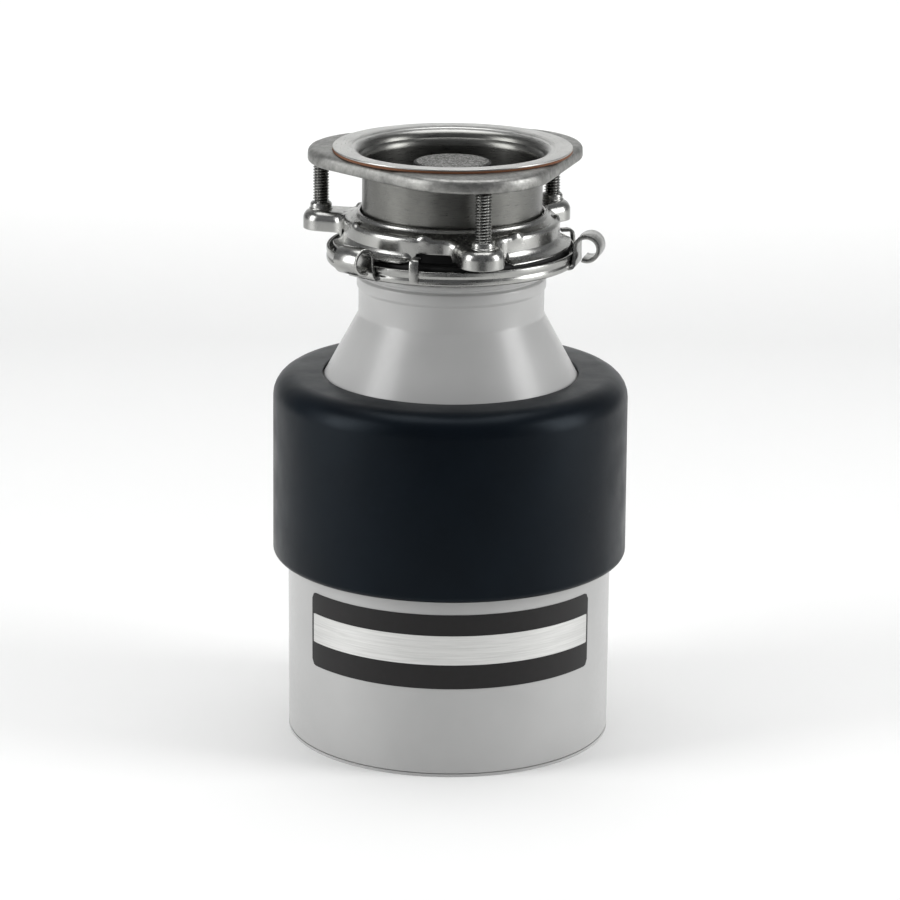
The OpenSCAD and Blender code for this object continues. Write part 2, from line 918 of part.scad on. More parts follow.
// Plan of a screw ear, drawn towards the label side, ending inside the ring's wall
module ear_plan(inset) {
    half = ear_w / 2;
    difference() {
        union() {
            translate([0, -ear_tip + half])
                circle(r = half - inset);
            translate([-half + inset, -ear_tip + half])
                square([ear_w - 2 * inset, ear_tip - half - upper_r + 6]);
        }
        circle(r = upper_r - ring_t / 2 + inset / 4);
    }
}

module upper_mounting_ring() {
    shelf_z = upper_z1 - 2;
    hole_r = sleeve_r + slack;
    color("gainsboro")
        difference() {
            union() {
                rotate_extrude()
                    polygon([[upper_r - ring_t, upper_z0], [upper_r, upper_z0], [upper_r, shelf_z],
                        [hole_r + 3.5, shelf_z], [hole_r + 3.5, upper_z1], [hole_r, upper_z1],
                        [hole_r, shelf_z - ring_t], [upper_r - ring_t, shelf_z - ring_t]]);
                around(3, screw_az)
                    intersection() {
                        tube(lip_r, upper_r - ring_t / 2, upper_z0 + seat, upper_z0 + ring_t);
                        wedge(lip_from, lip_to, lip_r + 2, upper_z0 - 1, upper_z0 + ring_t + 1);
                    }
                around(3, screw_az)
                    difference() {
                        translate([0, 0, ear_z0])
                            linear_extrude(ear_z1 - ear_z0)
                                ear_plan(0);
                        translate([0, 0, ear_z0 - 1])
                            linear_extrude(ear_z1 - ear_z0 + 1 - ring_t)
                                ear_plan(ring_t);
                    }
            }
            // arches that leave the gasket showing beside each ear, and the slot on its other side
            around(3, screw_az)
                difference() {
                    union() {
                        wedge(arch_from, arch_to, lower_r, upper_z0 - 1, arch_top);
                        wedge(slot_from, slot_to, lower_r, upper_z0 - 1, arch_top);
                    }
                    cylinder(r = upper_r - ring_t - 1, h = arch_top + 1);
                }
            around(3, screw_az)
                translate([0, -screw_orbit, ear_z0])
                    cylinder(r = screw_r + slack, h = 20);
        }
}

module ring_nuts() {
    color("silver")
        around(3, screw_az)
            translate([0, -screw_orbit, ear_z1])
                difference() {
                    cylinder(r = nut_r, h = nut_z1 - ear_z1);
                    translate([0, 0, -1])
                        cylinder(r = screw_r + run, h = nut_z1 - ear_z1 + 2);
                }
}

module snap_ring() {
    color("silver")
        difference() {
            tube(sleeve_r + 2, sleeve_r - groove_depth + seat, groove_z0 + seat, groove_z0 + groove_h - seat);
            translate([0, sleeve_r, 0])
                block(8, 8, groove_z0 - 1, groove_z0 + groove_h + 1);
        }
}

// Section of the sink flange: flat rim, rounded mouth, straight sleeve and the stopper's ledge
function mouth_arc(r) = [for (i = [0 : 8])
    [mouth_in_r + mouth_r - r * sin(90 - i * 11.25),
     rim_z1 - mouth_r + r * cos(90 - i * 11.25)]];

module sink_flange() {
    inner = mouth_arc(mouth_r);
    outer = mouth_arc(mouth_r - flange_wall);
    outer_down = [for (i = [len(outer) - 1 : -1 : 0]) outer[i]];
    color("silver")
        difference() {
            rotate_extrude()
                polygon(concat(
                    [[mouth_in_r, sleeve_z0], [mouth_in_r, ledge_z - 3], [ledge_r, ledge_z - 1.5],
                     [ledge_r, ledge_z], [mouth_in_r, ledge_z]],
                    inner,
                    [[rim_d / 2, rim_z1], [rim_d / 2, fibre_z1]],
                    outer_down,
                    [[sleeve_r, sleeve_z0]]));
            tube(sleeve_r + 1, sleeve_r - groove_depth, groove_z0, groove_z0 + groove_h);
        }
}

module fibre_gasket() {
    color("#5c3a28")
        tube(rim_d / 2, mouth_in_r + mouth_r + seat, backup_z1, fibre_z1);
}

// Plan of the backup flange: three lobes joined by their common tangents
module backup_plan() {
    corners = [for (k = [0 : 2], side = [-60, 60])
        let (a = screw_az + 120 * k)
        [lobe_orbit * sin(a) + lobe_r * sin(a + side), -lobe_orbit * cos(a) - lobe_r * cos(a + side)]];
    polygon(corners);
    around(3, screw_az)
        translate([0, -lobe_orbit])
            circle(r = lobe_r);
}

module backup_flange() {
    bore_r = sleeve_r + slack;
    color("silver")
        difference() {
            translate([0, 0, backup_z0])
                linear_extrude(backup_t)
                    backup_plan();
            translate([0, 0, backup_z0])
                rotate_extrude()
                    polygon([[0, -1], [bore_r, -1], [bore_r, backup_t - 4.4],
                        [bore_r + 3.6, backup_t + eps], [0, backup_t + eps]]);
        }
}

module mounting_screw(az) {
    color("silver")
        rotate([0, 0, az])
            translate([0, -screw_orbit, screw_z0])
                difference() {
                    cylinder(r = screw_r, h = backup_z0 - screw_z0);
                    block(screw_d + 1, screw_slot_w, -1, screw_slot_h);
                }
}

module mounting_screw_1() {
    mounting_screw(screw_az);
}

module mounting_screw_2() {
    mounting_screw(screw_az + 120);
}

module mounting_screw_3() {
    mounting_screw(screw_az + 240);
}

module stopper_body() {
    post_r = cap_d / 2 + 1.2;
    color("#1c1c1c")
        difference() {
            rotate_extrude()
                polygon([[0, ledge_z - 2], [post_r - 6, ledge_z - 2], [post_r - 4, ledge_z + 3],
                    [stopper_r - 4, ledge_z + 2.5], [stopper_r - 4, ledge_z + run],
                    [stopper_r, ledge_z + run], [stopper_r, ledge_z + 6], [stopper_r - 4, ledge_z + 6],
                    [post_r + 4, ledge_z + 7], [post_r, stopper_z1 - 1.5], [post_r, stopper_z1 - 0.5],
                    [0, stopper_z1 - 0.5]]);
            translate([0, 0, stopper_z1 - cap_t])
                cylinder(r = cap_d / 2 + 0.02, h = cap_t + 1);
        }
}

module stopper_cap() {
    color("darkgray")
        translate([0, 0, stopper_z1 - cap_t])
            cylinder(d = cap_d, h = cap_t);
}

lower_end_frame();
terminal_cover();
terminal_cover_screw();
ground_screw();
overload_protector();
reset_button();
start_switch();
lower_bearing();
lower_thrust_washer();
motor_can();
stator_core();
stator_windings();
rotor_core();
rotor_end_rings();
centrifugal_actuator();
rotor_shaft();
upper_end_bell();
upper_bearing();
shaft_seal();
through_bolts();
water_slinger();
discharge_chamber();
container_gasket();
container_screws();
turntable();
lug_pins();
swivel_lug_1();
swivel_lug_2();
turntable_nut();
shredder_ring();
hopper();
dishwasher_inlet_plug();
sound_foam();
sound_jacket();
label_plate();
mounting_gasket();
splash_baffle();
lower_mounting_ring();
upper_mounting_ring();
ring_nuts();
snap_ring();
sink_flange();
fibre_gasket();
backup_flange();
mounting_screw_1();
mounting_screw_2();
mounting_screw_3();
stopper_body();
stopper_cap();
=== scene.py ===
# %% [markdown]
# # A kitchen garbage disposal, dressed over its CAD frame
# The CAD part fixes every size and joint. Here each visible piece is made again with the soft
# corners, threads and pressed shapes of the real thing, and every surface gets a finish.

# %% Load the CAD part
import math

import bmesh
import bpy
from mathutils import Matrix, Vector


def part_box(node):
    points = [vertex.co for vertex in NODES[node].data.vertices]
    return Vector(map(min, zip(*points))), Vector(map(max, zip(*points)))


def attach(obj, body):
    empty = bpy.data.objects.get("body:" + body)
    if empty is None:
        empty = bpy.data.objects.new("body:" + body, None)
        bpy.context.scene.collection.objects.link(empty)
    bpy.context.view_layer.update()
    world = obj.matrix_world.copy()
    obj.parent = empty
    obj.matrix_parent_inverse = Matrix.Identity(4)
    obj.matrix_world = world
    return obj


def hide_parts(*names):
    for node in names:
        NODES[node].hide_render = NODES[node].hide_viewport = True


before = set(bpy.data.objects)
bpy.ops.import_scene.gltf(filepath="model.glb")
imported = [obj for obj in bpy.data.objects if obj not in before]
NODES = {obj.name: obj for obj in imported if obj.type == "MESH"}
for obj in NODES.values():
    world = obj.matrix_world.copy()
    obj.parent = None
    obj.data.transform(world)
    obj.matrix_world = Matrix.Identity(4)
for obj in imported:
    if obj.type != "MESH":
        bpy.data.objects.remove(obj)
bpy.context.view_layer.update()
MM = 0.001
print("CAD nodes:", len(NODES))

# %% [markdown]
# ## Measures shared by several pieces
# Millimetres, in the CAD frame: the origin is the middle of the base, +Z is up, and the label is
# on the -Y side. Bearings are degrees from the label side towards +X. Levels are read from the
# CAD nodes' own boxes, so the looks follow the part.

# %% Levels
def low(node):
    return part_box(node)[0] / MM


def high(node):
    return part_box(node)[1] / MM


CAN_R = high("motor_can").x
CAN_Z0 = low("motor_can").z
CAN_Z1 = high("motor_can").z
JACKET_R = high("sound_jacket").x
JACKET_Z0 = low("sound_jacket").z
JACKET_Z1 = high("sound_jacket").z
NECK_TOP = high("hopper").z
RING_Z0 = low("lower_mounting_ring").z
UPPER_Z0 = low("upper_mounting_ring").z
BACK_Z0 = low("backup_flange").z
BACK_Z1 = high("backup_flange").z
RIM_Z1 = high("sink_flange").z
RIM_R = high("sink_flange").x
SCREW_AZ = 12.6
SCREW_ORBIT = 66.3
EARS = [SCREW_AZ + 120 * k for k in range(3)]
print("rim top", round(RIM_Z1, 2), "jacket radius", round(JACKET_R, 2))

# %% [markdown]
# ## Small tools for making meshes
# `rounded` turns corner points into an outline with real fillets. `turn_piece` turns an outline
# about any axis, as a lathe does, and `weave` joins neighbouring rings of points into clean quads.

# %% Mesh tools
def finish_mesh(name, bm, body, sharp=35):
    """Turns a bmesh into a piece that rides on a body."""
    bmesh.ops.recalc_face_normals(bm, faces=bm.faces)
    mesh = bpy.data.meshes.new(name)
    bm.to_mesh(mesh)
    bm.free()
    mesh.shade_smooth()
    mesh.set_sharp_from_angle(angle=math.radians(sharp))
    piece = bpy.data.objects.new(name, mesh)
    bpy.context.collection.objects.link(piece)
    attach(piece, body)
    return piece


def rounded(corners, step=12):
    """Corners (r, z) or (r, z, fillet) of a closed outline, with each fillet drawn as an arc."""
    out = []
    count = len(corners)
    for i, corner in enumerate(corners):
        here = Vector(corner[:2])
        fillet = corner[2] if len(corner) > 2 else 0
        if fillet <= 0:
            out.append(here)
            continue
        before = (Vector(corners[i - 1][:2]) - here)
        after = (Vector(corners[(i + 1) % count][:2]) - here)
        turn = before.angle(after)
        reach = fillet / math.tan(turn / 2)
        reach = min(reach, before.length * 0.49, after.length * 0.49)
        radius = reach * math.tan(turn / 2)
        start = here + before.normalized() * reach
        end = here + after.normalized() * reach
        middle = here + (before.normalized() + after.normalized()).normalized() * (
            radius / math.sin(turn / 2))
        a, b = start - middle, end - middle
        sweep = a.angle(b)
        parts = max(2, int(math.degrees(sweep) / step))
        for k in range(parts + 1):
            t = k / parts
            point = (a * math.sin((1 - t) * sweep) + b * math.sin(t * sweep)) / math.sin(sweep)
            out.append(middle + point)
    return [(p.x, p.y) for p in out]


def polar(az, r, z):
    """A point in metres from a bearing, a radius and a height in millimetres."""
    a = math.radians(az)
    return Vector((r * math.sin(a), -r * math.cos(a), z)) * MM


def turn_piece(name, corners, place, sides, body, sharp=35):
    """A closed outline turned about an axis. `place(step, r, level)` gives a point in metres;
    outline points on the axis (r = 0) are shared by all steps."""
    outline = rounded(corners)
    bm = bmesh.new()
    axis = {}
    rings = []
    for i in range(sides):
        ring = []
        for k, (r, level) in enumerate(outline):
            if r < 1e-6:
                if k not in axis:
                    axis[k] = bm.verts.new(place(0, 0, level))
                ring.append(axis[k])
            else:
                ring.append(bm.verts.new(place(i / sides, r, level)))
        rings.append(ring)
    weave(bm, rings, True, True)
    return finish_mesh(name, bm, body, sharp)


def lathe(name, corners, body, segments=288, sharp=35):
    """A closed outline of (r, z) corners turned about the motor axis."""
    return turn_piece(name, corners, lambda t, r, z: polar(360 * t, r, z), segments, body, sharp)


def weave(bm, rings, close_rings, close_loop):
    """Faces between neighbouring rings of vertices."""
    pairs = list(zip(rings, rings[1:]))
    if close_rings:
        pairs.append((rings[-1], rings[0]))
    for a, b in pairs:
        n = len(a)
        for k in range(n if close_loop else n - 1):
            corner = [a[k], a[(k + 1) % n], b[(k + 1) % n], b[k]]
            face = []
            for vert in corner:
                if vert not in face:
                    face.append(vert)
            if len(face) > 2:
                bm.faces.new(face)


def smooth_step(t):
    t = min(1, max(0, t))
    return t * t * (3 - 2 * t)


def between(value, start, end, soft):
    """1 inside a span, 0 outside it, with soft ends."""
    return smooth_step((value - start) / soft + 0.5) * smooth_step((end - value) / soft + 0.5)


def cylinder_piece(name, x, y, corners, body, sides=48):
    """A small turned piece about its own upright axis, from (r, z) corners."""
    def place(t, r, z):
        a = 2 * math.pi * t
        return Vector((x + r * math.cos(a), y + r * math.sin(a), z)) * MM
    return turn_piece(name, corners, place, sides, body)


print("mesh tools ready")

# %% [markdown]
# ## Small tools for finishes
# Colours are written as sRGB hex and turned linear in one place. One helper adds any node, sets
# its properties and links or fills its inputs.

# %% Shader tools
def linear(code):
    """An sRGB hex colour as linear RGBA."""
    out = []
    for k in (1, 3, 5):
        c = int(code[k:k + 2], 16) / 255
        out.append(c / 12.92 if c <= 0.04045 else ((c + 0.055) / 1.055) ** 2.4)
    return (*out, 1.0)


def add(tree, kind, inputs=None, **settings):
    node = tree.nodes.new(kind)
    for key, value in settings.items():
        setattr(node, key, value)
    for key, value in (inputs or {}).items():
        if isinstance(value, bpy.types.NodeSocket):
            tree.links.new(value, node.inputs[key])
        else:
            node.inputs[key].default_value = value
    return node


def new_finish(name, colour, roughness, metallic=0.0, **constants):
    """A material with its shader in place. Returns the material, its tree and the shader."""
    mat = bpy.data.materials.new(name)
    mat.use_nodes = True
    tree = mat.node_tree
    shader = tree.nodes["Principled BSDF"]
    shader.inputs["Base Color"].default_value = linear(colour)
    shader.inputs["Roughness"].default_value = roughness
    shader.inputs["Metallic"].default_value = metallic
    for key, value in constants.items():
        shader.inputs[key.replace("_", " ")].default_value = value
    return mat, tree, shader


def object_space(tree):
    return add(tree, "ShaderNodeTexCoord").outputs["Object"]


def flattened(tree):
    """Object coordinates with the height left out."""
    parts = add(tree, "ShaderNodeSeparateXYZ", {"Vector": object_space(tree)})
    return add(tree, "ShaderNodeCombineXYZ", {"X": parts.outputs["X"], "Y": parts.outputs["Y"]}).outputs[0]


def stretched(tree, scale):
    """Object coordinates stretched by a scale on each axis."""
    return add(tree, "ShaderNodeMapping", {"Vector": object_space(tree), "Scale": scale}).outputs["Vector"]


def noise(tree, per_metre, detail=4.0, rough=0.55, vector=None):
    return add(tree, "ShaderNodeTexNoise", {
        "Vector": vector or object_space(tree), "Scale": per_metre,
        "Detail": detail, "Roughness": rough}).outputs["Fac"]


def spread(tree, value, low_in, high_in, low_out, high_out):
    """Maps a value from one range to another."""
    return add(tree, "ShaderNodeMapRange", {
        "Value": value, "From Min": low_in, "From Max": high_in,
        "To Min": low_out, "To Max": high_out}).outputs["Result"]


def ramp(tree, value, stops):
    """Colours along a value: stops are (place, hex)."""
    node = add(tree, "ShaderNodeValToRGB", {"Fac": value})
    while len(node.color_ramp.elements) < len(stops):
        node.color_ramp.elements.new(0.5)
    for element, (place, colour) in zip(node.color_ramp.elements, stops):
        element.position = place
        element.color = linear(colour)
    return node.outputs["Color"]


def bump(tree, shader, height, depth, strength=1.0, under=None):
    """Adds relief of a real depth in metres."""
    inputs = {"Height": height, "Distance": depth, "Strength": strength}
    if under is not None:
        inputs["Normal"] = under
    normal = add(tree, "ShaderNodeBump", inputs).outputs["Normal"]
    tree.links.new(normal, shader.inputs["Normal"])
    return normal


def turned_coords(tree, across, along):
    """Coordinates for lathe marks: fine across radius and height, long round the axis."""
    parts = add(tree, "ShaderNodeSeparateXYZ", {"Vector": object_space(tree)})
    radius = add(tree, "ShaderNodeVectorMath", {0: flattened(tree)}, operation="LENGTH").outputs["Value"]
    angle = add(tree, "ShaderNodeMath", {0: parts.outputs["Y"], 1: parts.outputs["X"]},
                operation="ARCTAN2").outputs[0]
    far = add(tree, "ShaderNodeMath", {0: radius, 1: across}, operation="MULTIPLY").outputs[0]
    up = add(tree, "ShaderNodeMath", {0: parts.outputs["Z"], 1: across}, operation="MULTIPLY").outputs[0]
    around = add(tree, "ShaderNodeMath", {0: angle, 1: along}, operation="MULTIPLY").outputs[0]
    return add(tree, "ShaderNodeCombineXYZ", {"X": far, "Y": around, "Z": up}).outputs[0]


def paint(piece, material):
    piece.data.materials.clear()
    piece.data.materials.append(material)


print("shader tools ready")


# %% [markdown]
# ## Gray baked enamel
# The motor can and the hopper are sprayed and baked. The coat is satin, with a faint orange peel
# about 1.5 mm across and a little unevenness in the shade.

# %% Enamel
def make_enamel():
    mat, tree, shader = new_finish("satin_gray_baked_enamel", "#B4B4B3", 0.36, Coat_Weight=0.25,
                                   Coat_Roughness=0.22)
    patch = noise(tree, 16, 3.0)
    tone = ramp(tree, patch, [(0.3, "#A9A9A8"), (0.7, "#B2B2B1")])
    tree.links.new(tone, shader.inputs["Base Color"])
    fine = noise(tree, 420, 4.0)
    tree.links.new(spread(tree, fine, 0.3, 0.7, 0.31, 0.42), shader.inputs["Roughness"])
    peel = bump(tree, shader, noise(tree, 650, 2.0), 0.00002, 0.8)
    bump(tree, shader, noise(tree, 2600, 2.0), 0.000006, 0.6, peel)
    return mat


ENAMEL = make_enamel()
print(ENAMEL.name, len(ENAMEL.node_tree.nodes), "nodes")

# %% [markdown]
# ## Moulded jacket plastic
# The sound jacket is a blue-black moulding with a fine leathery grain from the tool, about 0.5 mm
# across, rubbed slightly smoother in patches.

# %% Jacket plastic
def make_jacket():
    mat, tree, shader = new_finish("blue_black_moulded_plastic", "#0A1017", 0.44, Specular_IOR_Level=0.13,
                                   Specular_Tint=linear("#C9DBEA"))
    shade = ramp(tree, noise(tree, 22, 3.0), [(0.3, "#080C11"), (0.7, "#0B1117")])
    tree.links.new(shade, shader.inputs["Base Color"])
    tree.links.new(spread(tree, noise(tree, 60, 5.0), 0.3, 0.7, 0.30, 0.42), shader.inputs["Roughness"])
    grain = add(tree, "ShaderNodeTexVoronoi", {"Vector": object_space(tree), "Scale": 1900.0},
                feature="SMOOTH_F1").outputs["Distance"]
    soft = bump(tree, shader, grain, 0.000018, 0.55)
    bump(tree, shader, noise(tree, 90, 2.0), 0.00006, 0.4, soft)
    return mat


JACKET = make_jacket()
print(JACKET.name, len(JACKET.node_tree.nodes), "nodes")

# %% [markdown]
# ## Bright zinc plate on pressed steel
# The mounting rings, nuts and screws are pressed or rolled steel under a bright plate. It is not
# a mirror: the sheet's grain shows through, with dull patches and fine drawing scratches.

# %% Zinc plate
def make_zinc(name="bright_zinc_plated_steel", tone=("#959593", "#A4A4A1"), rough=(0.22, 0.29)):
    mat, tree, shader = new_finish(name, "#A2A29F", 0.2, 1.0)
    cloud = noise(tree, 70, 3.0, 0.5)
    tree.links.new(ramp(tree, cloud, [(0.25, tone[0]), (0.7, tone[1])]), shader.inputs["Base Color"])
    worn = noise(tree, 260, 4.0, 0.55)
    tree.links.new(spread(tree, worn, 0.3, 0.7, rough[0], rough[1]), shader.inputs["Roughness"])
    scratch = noise(tree, 1.0, 2.0, 0.5, turned_coords(tree, 3600.0, 40.0))
    fine = bump(tree, shader, scratch, 0.000004, 0.4)
    bump(tree, shader, noise(tree, 90, 1.0), 0.00004, 0.25, fine)
    return mat


ZINC = make_zinc()
THREAD = make_zinc("zinc_plated_thread", ("#A4A4A2", "#BEBEBB"), (0.2, 0.3))
print(ZINC.name, THREAD.name)

# %% [markdown]
# ## Painted shade in the thread roots
# The roots of a screw's thread are painted darker than the crests, as shade.
# The distance to the nearest screw's axis tells root from crest.
# The distance to the nearest screw's axis tells root from crest.

# %% Thread roots
def paint_root_shade(mat):
    """Multiplies a finish by painted shade that deepens towards the screws' axes."""
    tree = mat.node_tree
    shader = tree.nodes["Principled BSDF"]
    tone = shader.inputs["Base Color"].links[0].from_socket
    flat = flattened(tree)
    nearest = None
    for az in EARS:
        a = math.radians(az)
        axis = (SCREW_ORBIT * MM * math.sin(a), -SCREW_ORBIT * MM * math.cos(a), 0)
        away = add(tree, "ShaderNodeVectorMath", {0: flat, 1: axis}, operation="DISTANCE").outputs["Value"]
        if nearest is None:
            nearest = away
        else:
            nearest = add(tree, "ShaderNodeMath", {0: nearest, 1: away}, operation="MINIMUM").outputs[0]
    # Painted shade: this tone darkens the thread roots.
    depth = ramp(tree, spread(tree, nearest, 0.0031, 0.0038, 0.0, 1.0), [(0.0, "#707070"), (1.0, "#FFFFFF")])
    mixed = add(tree, "ShaderNodeMix", {0: 1.0, 6: tone, 7: depth},
                data_type="RGBA", blend_type="MULTIPLY").outputs[2]
    tree.links.new(mixed, shader.inputs["Base Color"])


paint_root_shade(THREAD)
print("thread roots darkened")

# %% [markdown]
# ## Cast backup flange
# The thick flange is cast and plated, so it keeps the sand's grain: pits of about half a
# millimetre, soft lumps, and a duller, darker gray than the pressed parts.

# %% Cast metal
def make_cast(name="plated_cast_metal", dark="#70706E", pale="#9B9B98", grain=0.00012):
    mat, tree, shader = new_finish(name, "#939391", 0.42, 1.0)
    cloud = noise(tree, 210, 8.0, 0.7)
    tree.links.new(ramp(tree, cloud, [(0.3, dark), (0.66, pale)]), shader.inputs["Base Color"])
    tree.links.new(spread(tree, noise(tree, 700, 6.0), 0.3, 0.7, 0.34, 0.56), shader.inputs["Roughness"])
    pits = add(tree, "ShaderNodeTexVoronoi", {"Vector": object_space(tree), "Scale": 1300.0},
               feature="SMOOTH_F1").outputs["Distance"]
    first = bump(tree, shader, pits, grain * 0.35, 0.6)
    bump(tree, shader, noise(tree, 420, 6.0, 0.6), grain, 0.7, first)
    return mat


CAST = make_cast()
ALUMINIUM = make_cast("die_cast_aluminium", "#7C7E81", "#A3A5A7", 0.00008)
print(CAST.name, ALUMINIUM.name)

# %% [markdown]
# ## Polished stainless steel
# The sink flange is spun and then polished on a lathe, so its marks run round the axis. Inside the
# bowl's edge the colour is darkened, as painted shade.

# %% Stainless
def make_stainless(name="lathe_polished_stainless", tone=("#8C8C8A", "#A4A4A1"), rough=(0.17, 0.27),
                   bowl_r=0.0):
    mat, tree, shader = new_finish(name, "#999996", 0.22, 1.0)
    marks = noise(tree, 1.0, 3.0, 0.55, turned_coords(tree, 2600.0, 7.0))
    cloud = noise(tree, 60, 3.0)
    both = add(tree, "ShaderNodeMath", {0: marks, 1: cloud}, operation="ADD").outputs[0]
    colour = ramp(tree, spread(tree, both, 0.75, 1.25, 0.0, 1.0), [(0.1, tone[0]), (0.9, tone[1])])
    # Painted shade: inside bowl_r the colour is multiplied darker.
    if bowl_r:
        radius = add(tree, "ShaderNodeVectorMath", {0: flattened(tree)}, operation="LENGTH").outputs["Value"]
        bowl_shade = ramp(tree, spread(tree, radius, bowl_r - 0.0022, bowl_r, 0.0, 1.0),
                    [(0.0, "#9C9C9A"), (1.0, "#FFFFFF")])
        colour = add(tree, "ShaderNodeMix", {0: 1.0, 6: colour, 7: bowl_shade},
                     data_type="RGBA", blend_type="MULTIPLY").outputs[2]
    tree.links.new(colour, shader.inputs["Base Color"])
    tree.links.new(spread(tree, marks, 0.3, 0.7, rough[0], rough[1]), shader.inputs["Roughness"])
    bump(tree, shader, marks, 0.000002, 0.25)
    return mat


STAINLESS = make_stainless()
RIM = make_stainless("polished_stainless_rim", ("#A9A9A7", "#BEBEBB"), (0.26, 0.34), 0.0472)
ROLLED = make_stainless("ground_steel", ("#7F8082", "#A6A7A8"), (0.22, 0.38))
print(STAINLESS.name, RIM.name, ROLLED.name)

# %% [markdown]
# ## The stopper's speckled cap
# A small steel disc, bead blasted, so it sparkles in grains about 0.7 mm across.

# %% Blasted steel
def make_blasted():
    mat, tree, shader = new_finish("bead_blasted_steel", "#9B9B99", 0.5, 1.0)
    grains = add(tree, "ShaderNodeTexVoronoi", {"Vector": object_space(tree), "Scale": 1500.0})
    one = add(tree, "ShaderNodeSeparateXYZ", {"Vector": grains.outputs["Color"]}).outputs["X"]
    tree.links.new(ramp(tree, one, [(0.0, "#424240"), (0.55, "#6C6C6A"), (1.0, "#A0A09D")]),
                   shader.inputs["Base Color"])
    tree.links.new(spread(tree, one, 0.0, 1.0, 0.62, 0.36), shader.inputs["Roughness"])
    bump(tree, shader, grains.outputs["Distance"], 0.00012, 0.7)
    return mat


BLASTED = make_blasted()
print(BLASTED.name)

# %% [markdown]
# ## Fibre, rubber, foam and label
# The sealing ring under the rim is pressed brown fibre with short strands. The rubber is a dull
# black moulding that holds a little dust. The label is a thin printed film.

# %% Soft finishes
def make_fibre():
    mat, tree, shader = new_finish("pressed_brown_fibre", "#7A4A2C", 0.82)
    strands = noise(tree, 1.0, 5.0, 0.7, stretched(tree, (900.0, 900.0, 4200.0)))
    tree.links.new(ramp(tree, strands, [(0.25, "#4A2E1B"), (0.5, "#694127"), (0.75, "#825435")]),
                   shader.inputs["Base Color"])
    tree.links.new(spread(tree, strands, 0.2, 0.8, 0.7, 0.92), shader.inputs["Roughness"])
    bump(tree, shader, strands, 0.00008, 0.8)
    return mat


def make_rubber(name="black_moulded_rubber", dark="#080808", pale="#141414", low_rough=0.48):
    mat, tree, shader = new_finish(name, dark, 0.6, Specular_IOR_Level=0.3)
    dust = noise(tree, 180, 6.0, 0.65)
    tree.links.new(ramp(tree, dust, [(0.4, dark), (0.8, pale)]), shader.inputs["Base Color"])
    tree.links.new(spread(tree, dust, 0.3, 0.7, low_rough, low_rough + 0.2), shader.inputs["Roughness"])
    bump(tree, shader, noise(tree, 1600, 4.0), 0.00003, 0.5)
    return mat


def make_foam():
    mat, tree, shader = new_finish("open_cell_foam", "#26262A", 0.95)
    cells = add(tree, "ShaderNodeTexVoronoi", {"Vector": object_space(tree), "Scale": 900.0},
                feature="DISTANCE_TO_EDGE").outputs["Distance"]
    tree.links.new(ramp(tree, cells, [(0.0, "#3C3C40"), (0.2, "#101012")]), shader.inputs["Base Color"])
    bump(tree, shader, cells, 0.0006, 0.8)
    return mat


def make_label_film():
    mat, tree, shader = new_finish("printed_label_film", "#181516", 0.34, Coat_Weight=0.1,
                                   Coat_Roughness=0.3, Specular_IOR_Level=0.25)
    haze = noise(tree, 300, 5.0)
    tree.links.new(ramp(tree, haze, [(0.3, "#0E0C0C"), (0.7, "#131112")]), shader.inputs["Base Color"])
    tree.links.new(spread(tree, haze, 0.3, 0.7, 0.30, 0.42), shader.inputs["Roughness"])
    bump(tree, shader, noise(tree, 2400, 2.0), 0.000006, 0.5)
    return mat


def make_label_foil():
    mat, tree, shader = new_finish("brushed_label_foil", "#D6D6D4", 0.34, 0.75)
    lines = noise(tree, 1.0, 4.0, 0.6, turned_coords(tree, 5200.0, 9.0))
    broad = noise(tree, 1.0, 2.0, 0.5, turned_coords(tree, 1500.0, 3.0))
    both = add(tree, "ShaderNodeMath", {0: lines, 1: broad}, operation="ADD").outputs[0]
    tree.links.new(ramp(tree, spread(tree, both, 0.7, 1.3, 0.0, 1.0), [(0.1, "#C6C6C4"), (0.9, "#D8D8D6")]),
                   shader.inputs["Base Color"])
    tree.links.new(spread(tree, lines, 0.3, 0.7, 0.28, 0.46), shader.inputs["Roughness"])
    bump(tree, shader, lines, 0.000005, 0.5)
    return mat


FIBRE = make_fibre()
RUBBER = make_rubber()
FOAM = make_foam()
FILM = make_label_film()
FOIL = make_label_foil()
print("soft finishes:", FIBRE.name, RUBBER.name, FOAM.name, FILM.name, FOIL.name)

# %% [markdown]
# ## Finishes for the motor's inside
# Nobody sees these until the can is off, but each is still what it would be: stacked laminations
# with lines 0.5 mm apart, varnished copper, sintered bronze, nylon, phenolic and so on.

# %% Inside finishes
def make_lamination():
    mat, tree, shader = new_finish("stacked_lamination_steel", "#5A5D60", 0.45, 1.0)
    height = add(tree, "ShaderNodeSeparateXYZ", {"Vector": object_space(tree)}).outputs["Z"]
    turns = add(tree, "ShaderNodeMath", {0: height, 1: 2 * math.pi / 0.0005}, operation="MULTIPLY").outputs[0]
    wave = add(tree, "ShaderNodeMath", {0: turns}, operation="SINE").outputs[0]
    tree.links.new(ramp(tree, spread(tree, wave, -1, 1, 0, 1), [(0.1, "#3B3D40"), (0.5, "#6C6F72")]),
                   shader.inputs["Base Color"])
    bump(tree, shader, wave, 0.00004, 0.6)
    return mat


def make_copper():
    mat, tree, shader = new_finish("varnished_copper_wire", "#A85B2E", 0.3, 1.0)
    strands = add(tree, "ShaderNodeTexWave", {
        "Vector": turned_coords(tree, 1.0, 0.02), "Scale": 420.0, "Distortion": 2.5, "Detail": 2.0},
        bands_direction="DIAGONAL").outputs["Fac"]
    tree.links.new(ramp(tree, strands, [(0.1, "#5F2D14"), (0.6, "#B9693A")]), shader.inputs["Base Color"])
    bump(tree, shader, strands, 0.0003, 0.8)
    return mat


def make_bronze():
    mat, tree, shader = new_finish("sintered_bronze", "#9A7440", 0.45, 1.0)
    pores = noise(tree, 2400, 4.0)
    tree.links.new(ramp(tree, pores, [(0.35, "#6B4E2A"), (0.6, "#A98149")]), shader.inputs["Base Color"])
    bump(tree, shader, pores, 0.00004, 0.6)
    return mat


